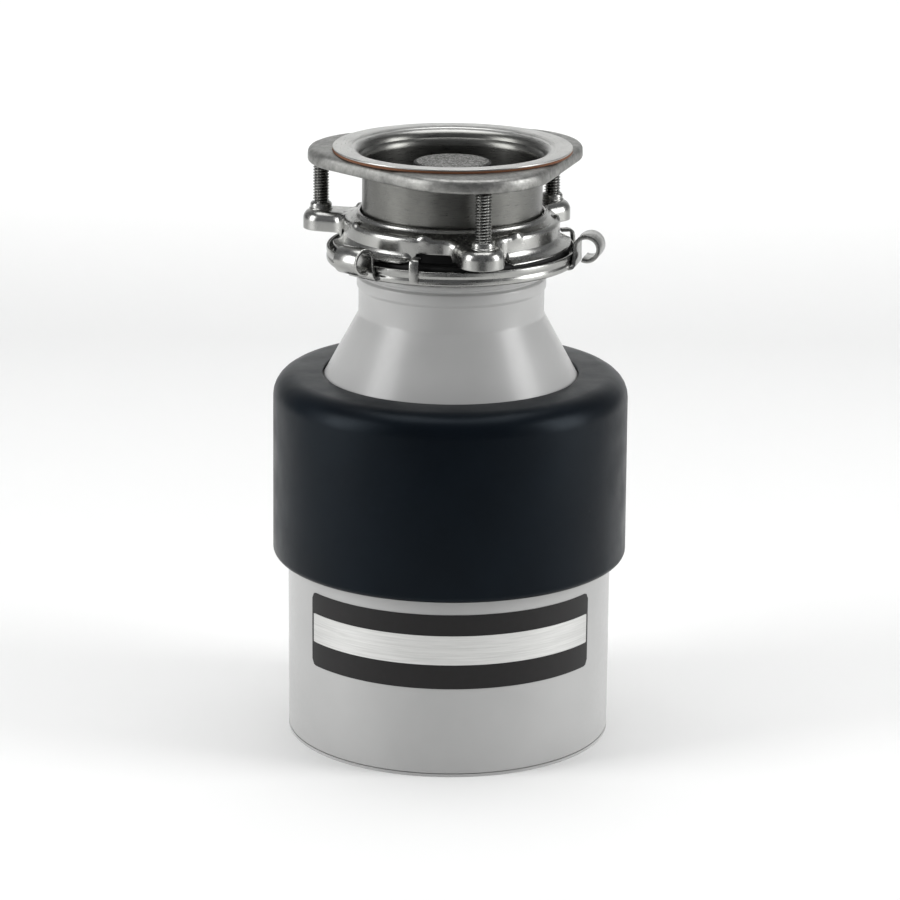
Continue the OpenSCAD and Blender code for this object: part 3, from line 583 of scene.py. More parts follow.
def make_plastic(name, dark, pale, rough):
    mat, tree, shader = new_finish(name, dark, rough)
    flow = noise(tree, 120, 4.0)
    tree.links.new(ramp(tree, flow, [(0.3, dark), (0.7, pale)]), shader.inputs["Base Color"])
    tree.links.new(spread(tree, flow, 0.3, 0.7, rough - 0.06, rough + 0.06), shader.inputs["Roughness"])
    bump(tree, shader, noise(tree, 2000, 2.0), 0.00001, 0.5)
    return mat


def make_galvanised():
    mat, tree, shader = new_finish("galvanised_steel", "#8B9093", 0.4, 1.0)
    spangle = add(tree, "ShaderNodeTexVoronoi", {"Vector": object_space(tree), "Scale": 160.0})
    one = add(tree, "ShaderNodeSeparateXYZ", {"Vector": spangle.outputs["Color"]}).outputs["X"]
    tree.links.new(ramp(tree, one, [(0.0, "#74797C"), (1.0, "#A3A8AB")]), shader.inputs["Base Color"])
    tree.links.new(spread(tree, one, 0.0, 1.0, 0.32, 0.5), shader.inputs["Roughness"])
    bump(tree, shader, noise(tree, 900, 3.0), 0.00002, 0.5)
    return mat


LAMINATION = make_lamination()
COPPER = make_copper()
BRONZE = make_bronze()
NYLON = make_plastic("natural_nylon", "#DAD5C6", "#E6E2D6", 0.45)
PHENOLIC = make_plastic("brown_phenolic", "#33261E", "#44342A", 0.4)
RED = make_plastic("red_moulded_plastic", "#A31318", "#B81D22", 0.32)
GREEN = make_plastic("green_dipped_steel", "#1F6B3A", "#2B7D48", 0.35)
GALVANISED = make_galvanised()
print("materials:", len(bpy.data.materials))

# %% [markdown]
# ## The motor can and its bottom frame
# The can is drawn steel. Its lower edge is turned in over the die-cast frame, which leaves a fine
# dark line above the foot all the way round.

# %% Motor can
can = lathe("can_shell", [
    (CAN_R - 1.1, CAN_Z0 + 0.25), (CAN_R - 0.05, CAN_Z0 + 0.25, 0.45), (CAN_R - 0.05, 6),
    (CAN_R, 9), (CAN_R, CAN_Z1 - 0.1, 0.3), (CAN_R - 1.1, CAN_Z1 - 0.1)], "housing")
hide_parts("motor_can")
paint(can, ENAMEL)
print("can faces:", len(can.data.polygons))

# %% [markdown]
# ## The sound jacket
# A moulded shell with a big soft shoulder. The real one is a single moulding with a window at the
# back for the outlet. It is turned here as one outline, and the window is cut with a rounded box.

# %% Sound jacket
FOOT_R = 60.4
can_edge = CAN_R + 0.35
jacket = lathe("jacket_shell", [
    (can_edge, JACKET_Z0 + 0.3, 0.6), (JACKET_R - 0.02, JACKET_Z0 + 0.3, 7.4),
    (JACKET_R - 0.4, JACKET_Z1 - 0.35, 11.4), (FOOT_R + 0.75, JACKET_Z1 - 0.05, 0.9),
    (FOOT_R + 2.1, JACKET_Z1 - 3.0, 0.6), (JACKET_R - 3.5, JACKET_Z1 - 3.2, 8.3),
    (JACKET_R - 3.1, JACKET_Z0 + 3.2, 4.2), (can_edge, JACKET_Z0 + 3.0, 0.5)],
    "housing", 320)
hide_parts("sound_jacket")
paint(jacket, JACKET)


def rounded_box(name, lo, hi, radius, axis):
    """A box with its four edges along one axis rounded, for cutting windows."""
    bm = bmesh.new()
    bmesh.ops.create_cube(bm, size=1)
    for vert in bm.verts:
        vert.co = Vector([(lo[k] + hi[k]) / 2 + vert.co[k] * (hi[k] - lo[k]) for k in range(3)]) * MM
    edges = [e for e in bm.edges
             if abs((e.verts[0].co - e.verts[1].co).normalized()[axis]) > 0.9]
    bmesh.ops.bevel(bm, geom=edges, offset=radius * MM, segments=8, profile=0.5, affect="EDGES")
    mesh = bpy.data.meshes.new(name)
    bm.to_mesh(mesh)
    bm.free()
    cutter = bpy.data.objects.new(name, mesh)
    bpy.context.collection.objects.link(cutter)
    return cutter


def cut(piece, cutter):
    """Cuts a shape out of a piece for good, then removes the cutter."""
    mod = piece.modifiers.new("cut", "BOOLEAN")
    mod.operation = "DIFFERENCE"
    mod.object = cutter
    mod.solver = "EXACT"
    graph = bpy.context.evaluated_depsgraph_get()
    mesh = bpy.data.meshes.new_from_object(piece.evaluated_get(graph))
    piece.modifiers.clear()
    piece.data = mesh
    mesh.shade_smooth()
    mesh.set_sharp_from_angle(angle=math.radians(35))
    bpy.data.objects.remove(cutter)


window = low("discharge_chamber"), high("discharge_chamber")
outlet_z = (window[0].z + 29.0)
cut(jacket, rounded_box("window_cutter", (-43, 20, outlet_z - 27), (43, 120, outlet_z + 27), 7, 1))
print("jacket faces:", len(jacket.data.polygons))

# %% [markdown]
# ## The label
# A thin black film wraps the front of the can, with a brushed foil stripe across its middle. Both
# are bent from flat sheets with rounded corners. All lettering is left out.

# %% Label
LABEL_LO, LABEL_HI = low("label_plate"), high("label_plate")


def wrapped_sheet(name, az0, az1, z0, z1, radius, thickness, corner, body):
    """A flat sheet with rounded corners, bent round the can."""
    columns = 110
    rows = 14
    width = math.radians(az1 - az0) * radius
    bm = bmesh.new()
    grids = []
    for depth in (radius, radius + thickness):
        grid = []
        for i in range(columns + 1):
            u = width * i / columns
            edge = min(u, width - u)
            inset = corner - math.sqrt(max(0, corner ** 2 - max(0, corner - edge) ** 2))
            line = []
            for k in range(rows + 1):
                z = z0 + inset + (z1 - z0 - 2 * inset) * k / rows
                line.append(bm.verts.new(polar(az0 + math.degrees(u / radius), depth, z)))
            grid.append(line)
        weave(bm, grid, False, False)
        grids.append(grid)
    inner, outer = grids
    for a, b in ((0, 0), (-1, -1)):
        for k in range(rows):
            bm.faces.new((inner[a][k], inner[a][k + 1], outer[b][k + 1], outer[b][k]))
    for i in range(columns):
        for k in (0, -1):
            bm.faces.new((inner[i][k], inner[i + 1][k], outer[i + 1][k], outer[i][k]))
    return finish_mesh(name, bm, body)


label = wrapped_sheet("label_film", -56.0, 58.0, LABEL_LO.z, LABEL_HI.z, CAN_R + 0.01, 0.22, 3.0,
                      "housing")
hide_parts("label_plate")
paint(label, FILM)
stripe_z = LABEL_LO.z + 12.0
stripe = wrapped_sheet("label_foil", -54.9, 56.9, stripe_z, stripe_z + 14.4, CAN_R + 0.2, 0.16, 0.2,
                       "housing")
paint(stripe, FOIL)
print("label from", round(LABEL_LO.z, 1), "to", round(LABEL_HI.z, 1))

# %% [markdown]
# ## The hopper
# One spun steel cone with a straight neck. Two rolled beads stiffen the neck below the mount, and
# the dishwasher inlet sticks out at the back. The inner line follows the outer one, so the wall
# is real and the throat can be looked into.

# %% Hopper
HOP_Z0 = low("hopper").z
neck = 44.65
neck_foot = 209.0
outer = [(82.3, HOP_Z0 + 0.05), (82.3, HOP_Z0 + 1.2), (75.9, HOP_Z0 + 1.25, 0.8),
         (75.3, HOP_Z0 + 3), (75.3, JACKET_Z1 - 4.2, 4), (62.6, JACKET_Z1 - 3.7, 1),
         (60.55, JACKET_Z1 - 0.2, 0.5), (neck, neck_foot, 3.5), (neck, 221.2, 0.8),
         (45.5, 222.6, 1.2), (45.5, 227.2, 1.0), (44.3, 228.2, 0.3), (44.3, 228.9, 0.3),
         (45.15, 229.6, 0.6), (45.15, 231.0, 0.6), (neck, 231.9, 0.5), (neck, 236.3, 1.0),
         (54.9, 236.8, 0.4), (54.9, 238.05, 0.4), (44.2, 238.05, 1.2)]
inner = [(43.45, 235.0), (43.45, neck_foot - 0.3, 3), (58.9, JACKET_Z1 - 0.9, 1),
         (61.5, JACKET_Z1 - 4.9, 1), (74.15, JACKET_Z1 - 5.4, 3), (74.15, HOP_Z0 + 0.05)]
hopper = lathe("hopper_shell", outer + inner, "housing", 288, 40)
paint(hopper, ENAMEL)
INLET_Z = 196.2


def side_tube(name, z, corners, body, sides=64):
    """A turned piece about an axis that points to +Y, from (r, y) corners."""
    def place(t, r, y):
        a = 2 * math.pi * t
        return Vector((r * math.cos(a), y, z + r * math.sin(a))) * MM
    return turn_piece(name, corners, place, sides, body)


inlet = side_tube("dishwasher_inlet", INLET_Z, [
    (9.5, 46), (12.9, 46), (12.9, 60.2, 1.2), (11.1, 61.4, 0.8), (11.1, 78.4, 0.4),
    (11.6, 79.2, 0.5), (11.6, 81.0, 0.6), (11.1, 82.0, 0.4), (10.6, 82.3, 0.3), (9.5, 82.3, 0.4)],
    "housing")
paint(inlet, ENAMEL)
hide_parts("hopper")
plug = side_tube("inlet_knockout", INLET_Z, [
    (0.01, 59.6), (9.45, 59.6), (9.45, 61.0, 0.3), (8.7, 61.0, 0.2), (8.3, 60.5, 0.3), (2.6, 60.5, 0.4),
    (2.2, 61.3, 0.4), (0.01, 61.3)], "housing")
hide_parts("dishwasher_inlet_plug")
paint(plug, ENAMEL)
print("hopper faces:", len(hopper.data.polygons))

# %% [markdown]
# ## The rubber mounting gasket
# It grips the hopper's rolled rim and fills the mount. It shows through the arches as a soft black
# lip, and its baffle closes the throat with slit fingers.

# %% Gasket
gasket = lathe("gasket_lip", [
    (40.1, NECK_TOP + 0.1, 1), (56.3, NECK_TOP + 0.1, 1.6), (56.3, UPPER_Z0 - 0.2, 1.6),
    (49.3, UPPER_Z0 - 0.1, 0.8), (49.3, 249.6, 1), (43.3, 249.6, 1), (43.3, UPPER_Z0 + 0.2, 0.6),
    (40.1, UPPER_Z0 + 0.1, 1)], "housing")
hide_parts("mounting_gasket")
paint(gasket, RUBBER)
print("gasket faces:", len(gasket.data.polygons))

# %% [markdown]
# ## The upper mounting ring
# This is one pressing: a wall, a soft shoulder, a collar round the sleeve, and three cups drawn
# out for the screws. It is built from the ring's outline seen from above. Every level is that
# outline moved inwards, so the cups blend into the wall just as drawn metal does.

# %% Outlines seen from above
def arc_points(cx, cy, radius, a0, a1, step, outward=True):
    """Points and outward normals on an arc; angles in degrees from the local X axis."""
    count = max(2, int(abs(math.radians(a1 - a0)) * radius / step))
    out = []
    for k in range(count):
        a = math.radians(a0 + (a1 - a0) * k / count)
        sign = 1 if outward else -1
        out.append(((cx + radius * math.cos(a), cy + radius * math.sin(a)),
                    (sign * math.cos(a), sign * math.sin(a))))
    return out


def line_points(p, q, step):
    """Points and outward normals on a line of the outline, walked with the metal on its right."""
    dx, dy = q[0] - p[0], q[1] - p[1]
    size = math.hypot(dx, dy)
    count = max(1, int(size / step))
    return [((p[0] + dx * k / count, p[1] + dy * k / count), (-dy / size, dx / size))
            for k in range(count)]


def turned(points, az):
    """Local points (u across, v outwards) set at a bearing, as (x, y) and normals."""
    a = math.radians(az)
    s, c = math.sin(a), math.cos(a)
    return [((v * s + u * c, -v * c + u * s), (nv * s + nu * c, -nv * c + nu * s))
            for (u, v), (nu, nv) in points]


WALL_R = 51.5
EAR_HALF = 10.4
EAR_MID = SCREW_ORBIT + 8.5 - EAR_HALF
BLEND = 8.0


def wall_points(t0, t1, radius):
    """Points on the ring's wall between two angles from an ear's middle."""
    count = int(abs(t1 - t0) / 0.45)
    out = []
    for k in range(count):
        t = math.radians(t0 + (t1 - t0) * k / count)
        out.append(((math.sin(t) * radius, math.cos(t) * radius), (math.sin(t), math.cos(t))))
    return out


def ring_outline(step=0.42):
    """The wall with three drawn ears, walked towards growing bearings, and how much is ear."""
    centre_u = EAR_HALF + BLEND
    centre_v = math.sqrt((WALL_R + BLEND) ** 2 - centre_u ** 2)
    lean = math.degrees(math.atan2(centre_u, centre_v))
    down = math.degrees(math.atan2(-centre_v, centre_u))
    runs = [
        (wall_points(-60, -lean, WALL_R), 0, 0),
        (arc_points(-centre_u, centre_v, BLEND, down, 0, 0.3, False), 0, 1),
        (line_points((-EAR_HALF, centre_v), (-EAR_HALF, EAR_MID), step), 1, 1),
        (arc_points(0, EAR_MID, EAR_HALF, 180, 0, 0.3), 1, 1),
        (line_points((EAR_HALF, EAR_MID), (EAR_HALF, centre_v), step), 1, 1),
        (arc_points(centre_u, centre_v, BLEND, 180, 180 - down, 0.3, False), 1, 0),
        (wall_points(lean, 60, WALL_R), 0, 0)]
    out = []
    for az in EARS:
        for run, w0, w1 in runs:
            placed = turned(run, az)
            for k, (p, n) in enumerate(placed):
                out.append((p, n, w0 + (w1 - w0) * k / len(run)))
    return out


print("ring outline points:", len(ring_outline()))

# %% [markdown]
# ## The ring's sheet
# Each outline point carries a column of points: up the wall, round the shoulder, over the plate
# and up the collar. The columns are woven into one skin, which then gets the sheet's thickness.

# %% Upper mounting ring
def plate_height(r):
    """Height of the ring's top: low over the ears, a soft shoulder, then a slope to the collar."""
    top = UPPER_Z0 + 11.2 + 1.0 * smooth_step((53 - r) / 4)
    return top + 0.48 * max(0, 49 - r)


def hem_height(bearing, ear):
    """Height of the wall's lower edge: lifted under the ears and over the arches and slots."""
    rel = (bearing - SCREW_AZ + 60) % 120 - 60
    z = UPPER_Z0 + 1.9 * smooth_step((12.4 - abs(rel)) / 0.8)
    arch = between(rel, -32, -12.4, 1.6) + between(rel, 13.2, 15.8, 0.7)
    return max(z, UPPER_Z0 + 4.6 * min(1, arch))


def make_upper_ring():
    outline = ring_outline()
    bm = bmesh.new()
    columns = []
    for (x, y), (nx, ny), ear in outline:
        bearing = math.degrees(math.atan2(x, -y))
        round_r = 2.6 + 2.0 * smooth_step(ear)
        px, py = x - nx * round_r, y - ny * round_r
        top = plate_height(math.hypot(px, py))
        hem = hem_height(bearing, ear)
        column = []
        for k in range(7):
            column.append((x, y, hem + (top - round_r - hem) * k / 7))
        for k in range(9):
            t = math.radians(90 * k / 8)
            shift = round_r * (1 - math.cos(t))
            column.append((x - nx * shift, y - ny * shift, top - round_r * (1 - math.sin(t))))
        reach = math.hypot(px, py)
        away = math.atan2(px, -py)
        steps = 12
        for k in range(1, steps + 1):
            r = reach + (46.6 - reach) * k / steps
            column.append((r * math.sin(away), -r * math.cos(away), plate_height(r)))
        for r, z in ((46.2, 257.5), (45.9, 258.3), (45.5, 258.95), (44.9, 259.2), (44.3, 259.1),
                     (43.85, 258.7), (43.7, 258.0), (43.7, 256.6)):
            column.append((r * math.sin(away), -r * math.cos(away), z))
        columns.append([dimpled(p) for p in column])
    rings = [[bm.verts.new(Vector(p) * MM) for p in column] for column in columns]
    weave(bm, rings, True, False)
    ring = finish_mesh("upper_ring", bm, "housing", 60)
    thick = ring.modifiers.new("sheet", "SOLIDIFY")
    thick.thickness = 1.35 * MM
    thick.offset = -1
    thick.use_even_offset = True
    soft = ring.modifiers.new("edge", "BEVEL")
    soft.width = 0.25 * MM
    soft.segments = 2
    soft.limit_method = "ANGLE"
    soft.angle_limit = math.radians(60)
    return ring


DIMPLES = [-14.5 + 360 / 7 * k for k in range(7)]


def dimpled(point):
    """Pushes the small staking dimples up out of the shoulder."""
    x, y, z = point
    r = math.hypot(x, y)
    bearing = math.degrees(math.atan2(x, -y))
    if z < UPPER_Z0 + 8.0 or r > 53.5 or r < 46.5:
        return point
    for az in DIMPLES:
        off = math.radians((bearing - az + 180) % 360 - 180) * r
        reach = math.hypot(off / 4.3, (r - 49.7) / 2.6)
        if reach < 1:
            lift = 1.25 * (1 - reach ** 2) ** 1.5
            lift *= smooth_step((z - UPPER_Z0 - 8.0) / 2.5)
            return (x * (1 + 0.6 * lift / r), y * (1 + 0.6 * lift / r), z + lift)
    return point


upper_ring = make_upper_ring()
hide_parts("upper_mounting_ring")
paint(upper_ring, ZINC)
print("upper ring faces:", len(upper_ring.data.polygons))

# %% [markdown]
# ## The ramps
# Three lips stand out below the wall. They rise a little along their length, so turning the lower
# ring pulls the mount tight.

# %% Ramps
def swept_lip(name, az0, az1, section, body, taper):
    """A band swept between two bearings. The section is (r, z); its reach past the wall tapers
    off at both ends."""
    bm = bmesh.new()
    count = int((az1 - az0) / 0.5)
    rings = []
    for i in range(count + 1):
        az = az0 + (az1 - az0) * i / count
        grow = min(1, smooth_step((az - az0) / 1.5), smooth_step((az1 - az) / taper))
        sink = 1.45 * (az1 - az) / (az1 - az0)
        ring = []
        for r, z in section:
            pushed = WALL_R - 0.3 + (r - WALL_R + 0.3) * (0.12 + 0.88 * grow)
            ring.append(bm.verts.new(polar(az, pushed, z - sink * smooth_step((r - WALL_R) / 3))))
        rings.append(ring)
    weave(bm, rings, False, True)
    bm.faces.new(rings[0])
    bm.faces.new(list(reversed(rings[-1])))
    return finish_mesh(name, bm, body, 50)


ramp_section = rounded([
    (WALL_R - 0.3, 244.1), (WALL_R - 0.3, 248.6), (WALL_R + 0.1, 248.2), (WALL_R + 1.0, 246.1, 2.0),
    (56.9, 245.3, 0.6), (56.9, 244.0, 0.6), (53.5, 244.1, 1.0)], 20)
for k, az in enumerate(EARS):
    ramp_lip = swept_lip(f"ramp_{k + 1}", az + 16.4, az + 87.2, ramp_section, "housing", 5.5)
    paint(ramp_lip, ZINC)
print("ramp faces:", len(ramp_lip.data.polygons))

# %% [markdown]
# ## Weld nuts and threaded screws
# Round weld nuts stand on the ears. The screws are 5/16-18: 7.94 mm across with a thread every
# 1.41 mm. The thread is real relief, made by moving each ring of points along a helix.

# %% Nuts and screws
def on_ear(k):
    a = math.radians(EARS[k])
    return SCREW_ORBIT * math.sin(a), -SCREW_ORBIT * math.cos(a)


nut_z = UPPER_Z0 + 11.2
for k in range(3):
    x, y = on_ear(k)
    nut = cylinder_piece(f"weld_nut_{k + 1}", x, y, [
        (4.02, nut_z - 0.9), (5.7, nut_z - 0.9), (5.7, nut_z + 0.2, 0.3), (5.2, nut_z + 0.55, 0.3),
        (5.2, nut_z + 2.3, 0.8), (4.6, nut_z + 3.15, 0.4), (4.02, nut_z + 3.15, 0.2)],
        "housing")
    if k == 0:
        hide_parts("ring_nuts")
    paint(nut, ZINC)


def threaded_rod(name, x, y, z0, z1, body):
    """A screw whose radius follows a helix, with a blunt end."""
    pitch = 1.411
    crest = 3.96
    root = 3.05
    sides = 36
    per_turn = 10
    rows = int((z1 - z0) / pitch * per_turn)
    bm = bmesh.new()
    rings = []
    for k in range(rows + 1):
        z = z0 + (z1 - z0) * k / rows
        fade = min(1, (z - z0) / 1.0, (z1 - z) / 0.6)
        ring = []
        for i in range(sides):
            a = 2 * math.pi * i / sides
            phase = (z / pitch - i / sides) % 1
            tooth = min(1, max(0, (abs(phase - 0.5) * 2 - 0.1) / 0.75))
            r = crest - (crest - root) * tooth
            r = min(r, root - 0.5 + (crest - root + 0.5) * max(0, fade))
            ring.append(bm.verts.new(((x + r * math.cos(a)) * MM, (y + r * math.sin(a)) * MM, z * MM)))
        rings.append(ring)
    weave(bm, rings, False, True)
    for end in (0, -1):
        bm.faces.new(rings[end])
    rod = finish_mesh(name, bm, body, 45)
    return rod


for k in range(3):
    x, y = on_ear(k)
    rod = threaded_rod(f"screw_{k + 1}", x, y, low("mounting_screw_1").z, BACK_Z0 - 0.02, f"screw_{k + 1}")
    slot_cut = rounded_box("slot_cutter", (x - 5, y - 0.6, low("mounting_screw_1").z - 1),
                           (x + 5, y + 0.6, low("mounting_screw_1").z + 1.6), 0.05, 2)
    cut(rod, slot_cut)
    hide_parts(f"mounting_screw_{k + 1}")
    paint(rod, THREAD)
print("screw faces:", len(rod.data.polygons))

# %% [markdown]
# ## The lower mounting ring
# The band that locks the mount is a pressed L section with a shallow groove round its wall. Three
# straps leave it, rise and curl over to take a wrench, and three pinched tabs ride the ramps.

# %% Lower ring
LOW_R = 60.0
lower_band = lathe("lower_ring", [
    (46.5, RING_Z0 + 0.02, 0.4), (LOW_R, RING_Z0 + 0.02, 2.1), (LOW_R, RING_Z0 + 2.4, 0.7),
    (LOW_R - 0.55, RING_Z0 + 3.6, 1.2), (LOW_R, RING_Z0 + 4.9, 0.7), (LOW_R, RING_Z0 + 7.15, 0.75),
    (LOW_R - 1.5, RING_Z0 + 7.15, 0.7), (LOW_R - 1.7, RING_Z0 + 1.7, 0.8), (46.5, RING_Z0 + 1.5, 0.5)],
    "lower_ring", 320)
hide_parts("lower_mounting_ring")
paint(lower_band, ZINC)


def strap(name, az, path, width_at, thickness, body):
    """A strap swept along a path of (r, z) points at a bearing, with rounded edges."""
    bm = bmesh.new()
    a = math.radians(az)
    out_dir = Vector((math.sin(a), -math.cos(a), 0))
    side_dir = Vector((math.cos(a), math.sin(a), 0))
    rings = []
    count = len(path)
    for k, (r, z) in enumerate(path):
        p0 = Vector(path[max(0, k - 1)])
        p1 = Vector(path[min(count - 1, k + 1)])
        along = (p1 - p0).normalized()
        across = Vector((-along.y, along.x))
        half = width_at(k / (count - 1)) / 2
        edge = thickness / 2
        ring = []
        for u, v in ((half - 0.3, edge), (half - 0.09, edge - 0.09), (half, edge - 0.3),
                     (half, 0.3 - edge), (half - 0.09, 0.09 - edge), (half - 0.3, -edge)):
            ring.append((u, v))
        ring += [(-u, v) for u, v in reversed(ring)]
        verts = []
        for u, v in ring:
            spot = out_dir * (r + across.x * v) + Vector((0, 0, z + across.y * v)) + side_dir * u
            verts.append(bm.verts.new(spot * MM))
        rings.append(verts)
    weave(bm, rings, False, True)
    bm.faces.new(rings[0])
    bm.faces.new(list(reversed(rings[-1])))
    return finish_mesh(name, bm, body, 40)


CURL_MID = (66.8, RING_Z0 + 10)
CURL_R = 5.75


def curl_path():
    """Centre line of a rolled ear: out of the ring's root, up, over and back under."""
    path = [(57.6, RING_Z0 + 0.95), (58.8, RING_Z0 + 0.95)]
    for k in range(7):
        t = math.radians(-90 + 15 * k)
        path.append((59.3 + 1.75 * math.cos(t), RING_Z0 + 2.7 + 1.75 * math.sin(t)))
    for k in range(1, 5):
        path.append((CURL_MID[0] - CURL_R, RING_Z0 + 2.7 + (CURL_MID[1] - RING_Z0 - 2.7) * k / 5))
    for k in range(41):
        t = math.radians(180 - 292 * k / 40)
        path.append((CURL_MID[0] + CURL_R * math.cos(t), CURL_MID[1] + CURL_R * math.sin(t)))
    return path


for k in range(3):
    curl = strap(f"rolled_ear_{k + 1}", -43 + 120 * k, curl_path(),
                 lambda t: 14 + 5.5 * smooth_step((0.22 - t) / 0.2), 1.85, "lower_ring")
    paint(curl, ZINC)

hook_path = [(59.7, RING_Z0 + 1.2), (59.9, RING_Z0 + 2.4), (59.9, RING_Z0 + 6), (59.7, RING_Z0 + 9.6),
             (59.3, RING_Z0 + 11), (58.6, RING_Z0 + 11.7), (57.6, RING_Z0 + 12.0), (55.5, RING_Z0 + 12.0),
             (53.9, RING_Z0 + 11.95)]
for k in range(3):
    hook = strap(f"pinched_tab_{k + 1}", -17 + 120 * k, hook_path,
                 lambda t: 4.4 - 0.9 * smooth_step((t - 0.5) * 2), 1.5, "lower_ring")
    paint(hook, ZINC)
print("lower ring faces:", len(lower_band.data.polygons))

# %% [markdown]
# ## The backup flange
# A thick casting in the shape of a rounded triangle, with a lobe over each screw. The upper edge
# slopes off broadly, the lower edge is only broken.

# %% Backup flange
LOBE_R = 40.1
LOBE_ORBIT = SCREW_ORBIT + 3.97 + 0.4 - LOBE_R


def flange_outline(step=0.9):
    out = []
    corner = (LOBE_R * math.cos(math.radians(30)), LOBE_ORBIT + LOBE_R * math.sin(math.radians(30)))
    for k, az in enumerate(EARS):
        lobe = arc_points(0, LOBE_ORBIT, LOBE_R, 150, 30, step)
        placed = turned(lobe, az)
        out += placed
        end = turned([(corner, (math.cos(math.radians(30)), 0.5))], az)[0]
        begin = turned([((-corner[0], corner[1]), (-math.cos(math.radians(30)), 0.5))], az + 120)[0]
        size = math.hypot(end[0][0] - begin[0][0], end[0][1] - begin[0][1])
        count = int(size / step)
        for j in range(count):
            t = j / count
            out.append(((end[0][0] + (begin[0][0] - end[0][0]) * t,
                         end[0][1] + (begin[0][1] - end[0][1]) * t), end[1]))
    return out


def make_backup_flange():
    rows = [("in", 43.65, BACK_Z0 + 2.7), ("in", 43.65, BACK_Z0 + 0.6), ("in", 44.2, BACK_Z0 + 0.05),
            ("out", 7, BACK_Z0 + 0.05), ("out", 1.6, BACK_Z0 + 0.05), ("out", 0.7, BACK_Z0 + 0.3),
            ("out", 0.2, BACK_Z0 + 0.8), ("out", 0.02, BACK_Z0 + 1.5), ("out", 0.05, BACK_Z0 + 3.6),
            ("out", 0.15, BACK_Z0 + 4.8), ("out", 0.55, BACK_Z0 + 5.7), ("out", 1.25, BACK_Z0 + 6.4),
            ("out", 2.3, BACK_Z0 + 6.85), ("out", 3.8, BACK_Z0 + 7.1), ("out", 6.0, BACK_Z0 + 7.18),
            ("in", 48.4, BACK_Z0 + 7.18), ("in", 47.4, BACK_Z0 + 6.9), ("in", 45.2, BACK_Z0 + 4.6),
            ("in", 44.0, BACK_Z0 + 3.2)]
    bm = bmesh.new()
    rings = []
    for (x, y), (nx, ny) in flange_outline():
        away = math.atan2(x, -y)
        ring = []
        for kind, value, z in rows:
            if kind == "in":
                spot = (value * math.sin(away), -value * math.cos(away), z)
            else:
                spot = (x - nx * value, y - ny * value, z)
            ring.append(bm.verts.new(Vector(spot) * MM))
        rings.append(ring)
    weave(bm, rings, True, True)
    return finish_mesh("backup_flange_cast", bm, "clamp", 50)


backup = make_backup_flange()
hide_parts("backup_flange")
paint(backup, CAST)
print("backup flange faces:", len(backup.data.polygons))

# %% [markdown]
# ## Fibre gasket and sink flange
# The brown fibre ring lies under the rim. The sink flange is one spun piece: a flat rim with a
# rolled edge, a broad mouth, and a straight sleeve that goes down into the mount.

# %% Gasket and sink flange
fibre = lathe("fibre_ring", [
    (49.2, BACK_Z1 + 0.02), (RIM_R - 0.05, BACK_Z1 + 0.02, 0.25), (RIM_R - 0.02, BACK_Z1 + 1.16, 0.25),
    (49.2, BACK_Z1 + 1.16)], "clamp", 320)
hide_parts("fibre_gasket")
paint(fibre, FIBRE)
SLEEVE_R = 43.07
flange = lathe("sink_flange_spun", [
    (SLEEVE_R, 246.4, 0.3), (SLEEVE_R, 252.7, 0.1), (SLEEVE_R - 0.35, 252.9, 0.1),
    (SLEEVE_R - 0.35, 254.5, 0.1), (SLEEVE_R, 254.7, 0.1), (SLEEVE_R, 283.2, 2),
    (45.5, RIM_Z1 - 0.85, 5.2), (RIM_R - 0.1, RIM_Z1 - 0.85, 0.2), (RIM_R - 0.02, RIM_Z1 - 0.02, 0.38),
    (50.5, RIM_Z1 - 0.12, 2.5), (48.6, RIM_Z1 - 0.5, 2.5), (SLEEVE_R - 0.8, RIM_Z1 - 6.2, 5.4),
    (SLEEVE_R - 0.8, 263.4, 0.4),
    (40.5, 263.3, 0.4), (40.5, 261.7, 0.6), (SLEEVE_R - 0.8, 260.2, 0.6), (SLEEVE_R - 0.8, 246.4, 0.3)],
    "housing", 360)
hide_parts("sink_flange")
paint(flange, RIM)
print("sink flange faces:", len(flange.data.polygons))

# %% [markdown]
# ## The stopper
# A black rubber plug with ribs hangs on the flange's ledge. A blasted steel disc caps its post.

# %% Stopper
CAP_TOP = high("stopper_cap").z
CAP_R = high("stopper_cap").x
STOP_Z0 = low("stopper_body").z
STOP_R = high("stopper_body").x
post = CAP_R + 1.2
body = lathe("stopper_rubber", [
    (0, STOP_Z0), (post - 6, STOP_Z0, 2), (post - 4, STOP_Z0 + 5, 2), (STOP_R - 4, STOP_Z0 + 4.6, 1),
    (STOP_R - 4, STOP_Z0 + 2.1, 0.4), (STOP_R - 0.02, STOP_Z0 + 2.1, 0.8),
    (STOP_R - 0.02, STOP_Z0 + 7.9, 1.2), (STOP_R - 4, STOP_Z0 + 7.9, 2), (post + 4, STOP_Z0 + 9, 4),
    (post, CAP_TOP - 2.5, 2), (post, CAP_TOP - 0.5, 0.5), (CAP_R + 0.05, CAP_TOP - 0.5, 0.2),
    (CAP_R + 0.05, CAP_TOP - 1.45), (0, CAP_TOP - 1.45)], "stopper", 200)
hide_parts("stopper_body")
paint(body, RUBBER)
cap = lathe("stopper_cap_disc", [
    (0, CAP_TOP - 1.44), (CAP_R - 0.02, CAP_TOP - 1.44, 0.1), (CAP_R - 0.02, CAP_TOP - 0.15, 0.35),
    (CAP_R - 1.6, CAP_TOP - 0.02, 0.6), (0, CAP_TOP - 0.1)], "stopper", 200)
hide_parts("stopper_cap")
paint(cap, BLASTED)
print("stopper faces:", len(body.data.polygons))

# %% [markdown]
# ## Finishes on the carried-over parts
# Every CAD node that is still shown takes the finish of the real part. Edges get a fine bevel so
# castings and stampings don't look cut with a knife.

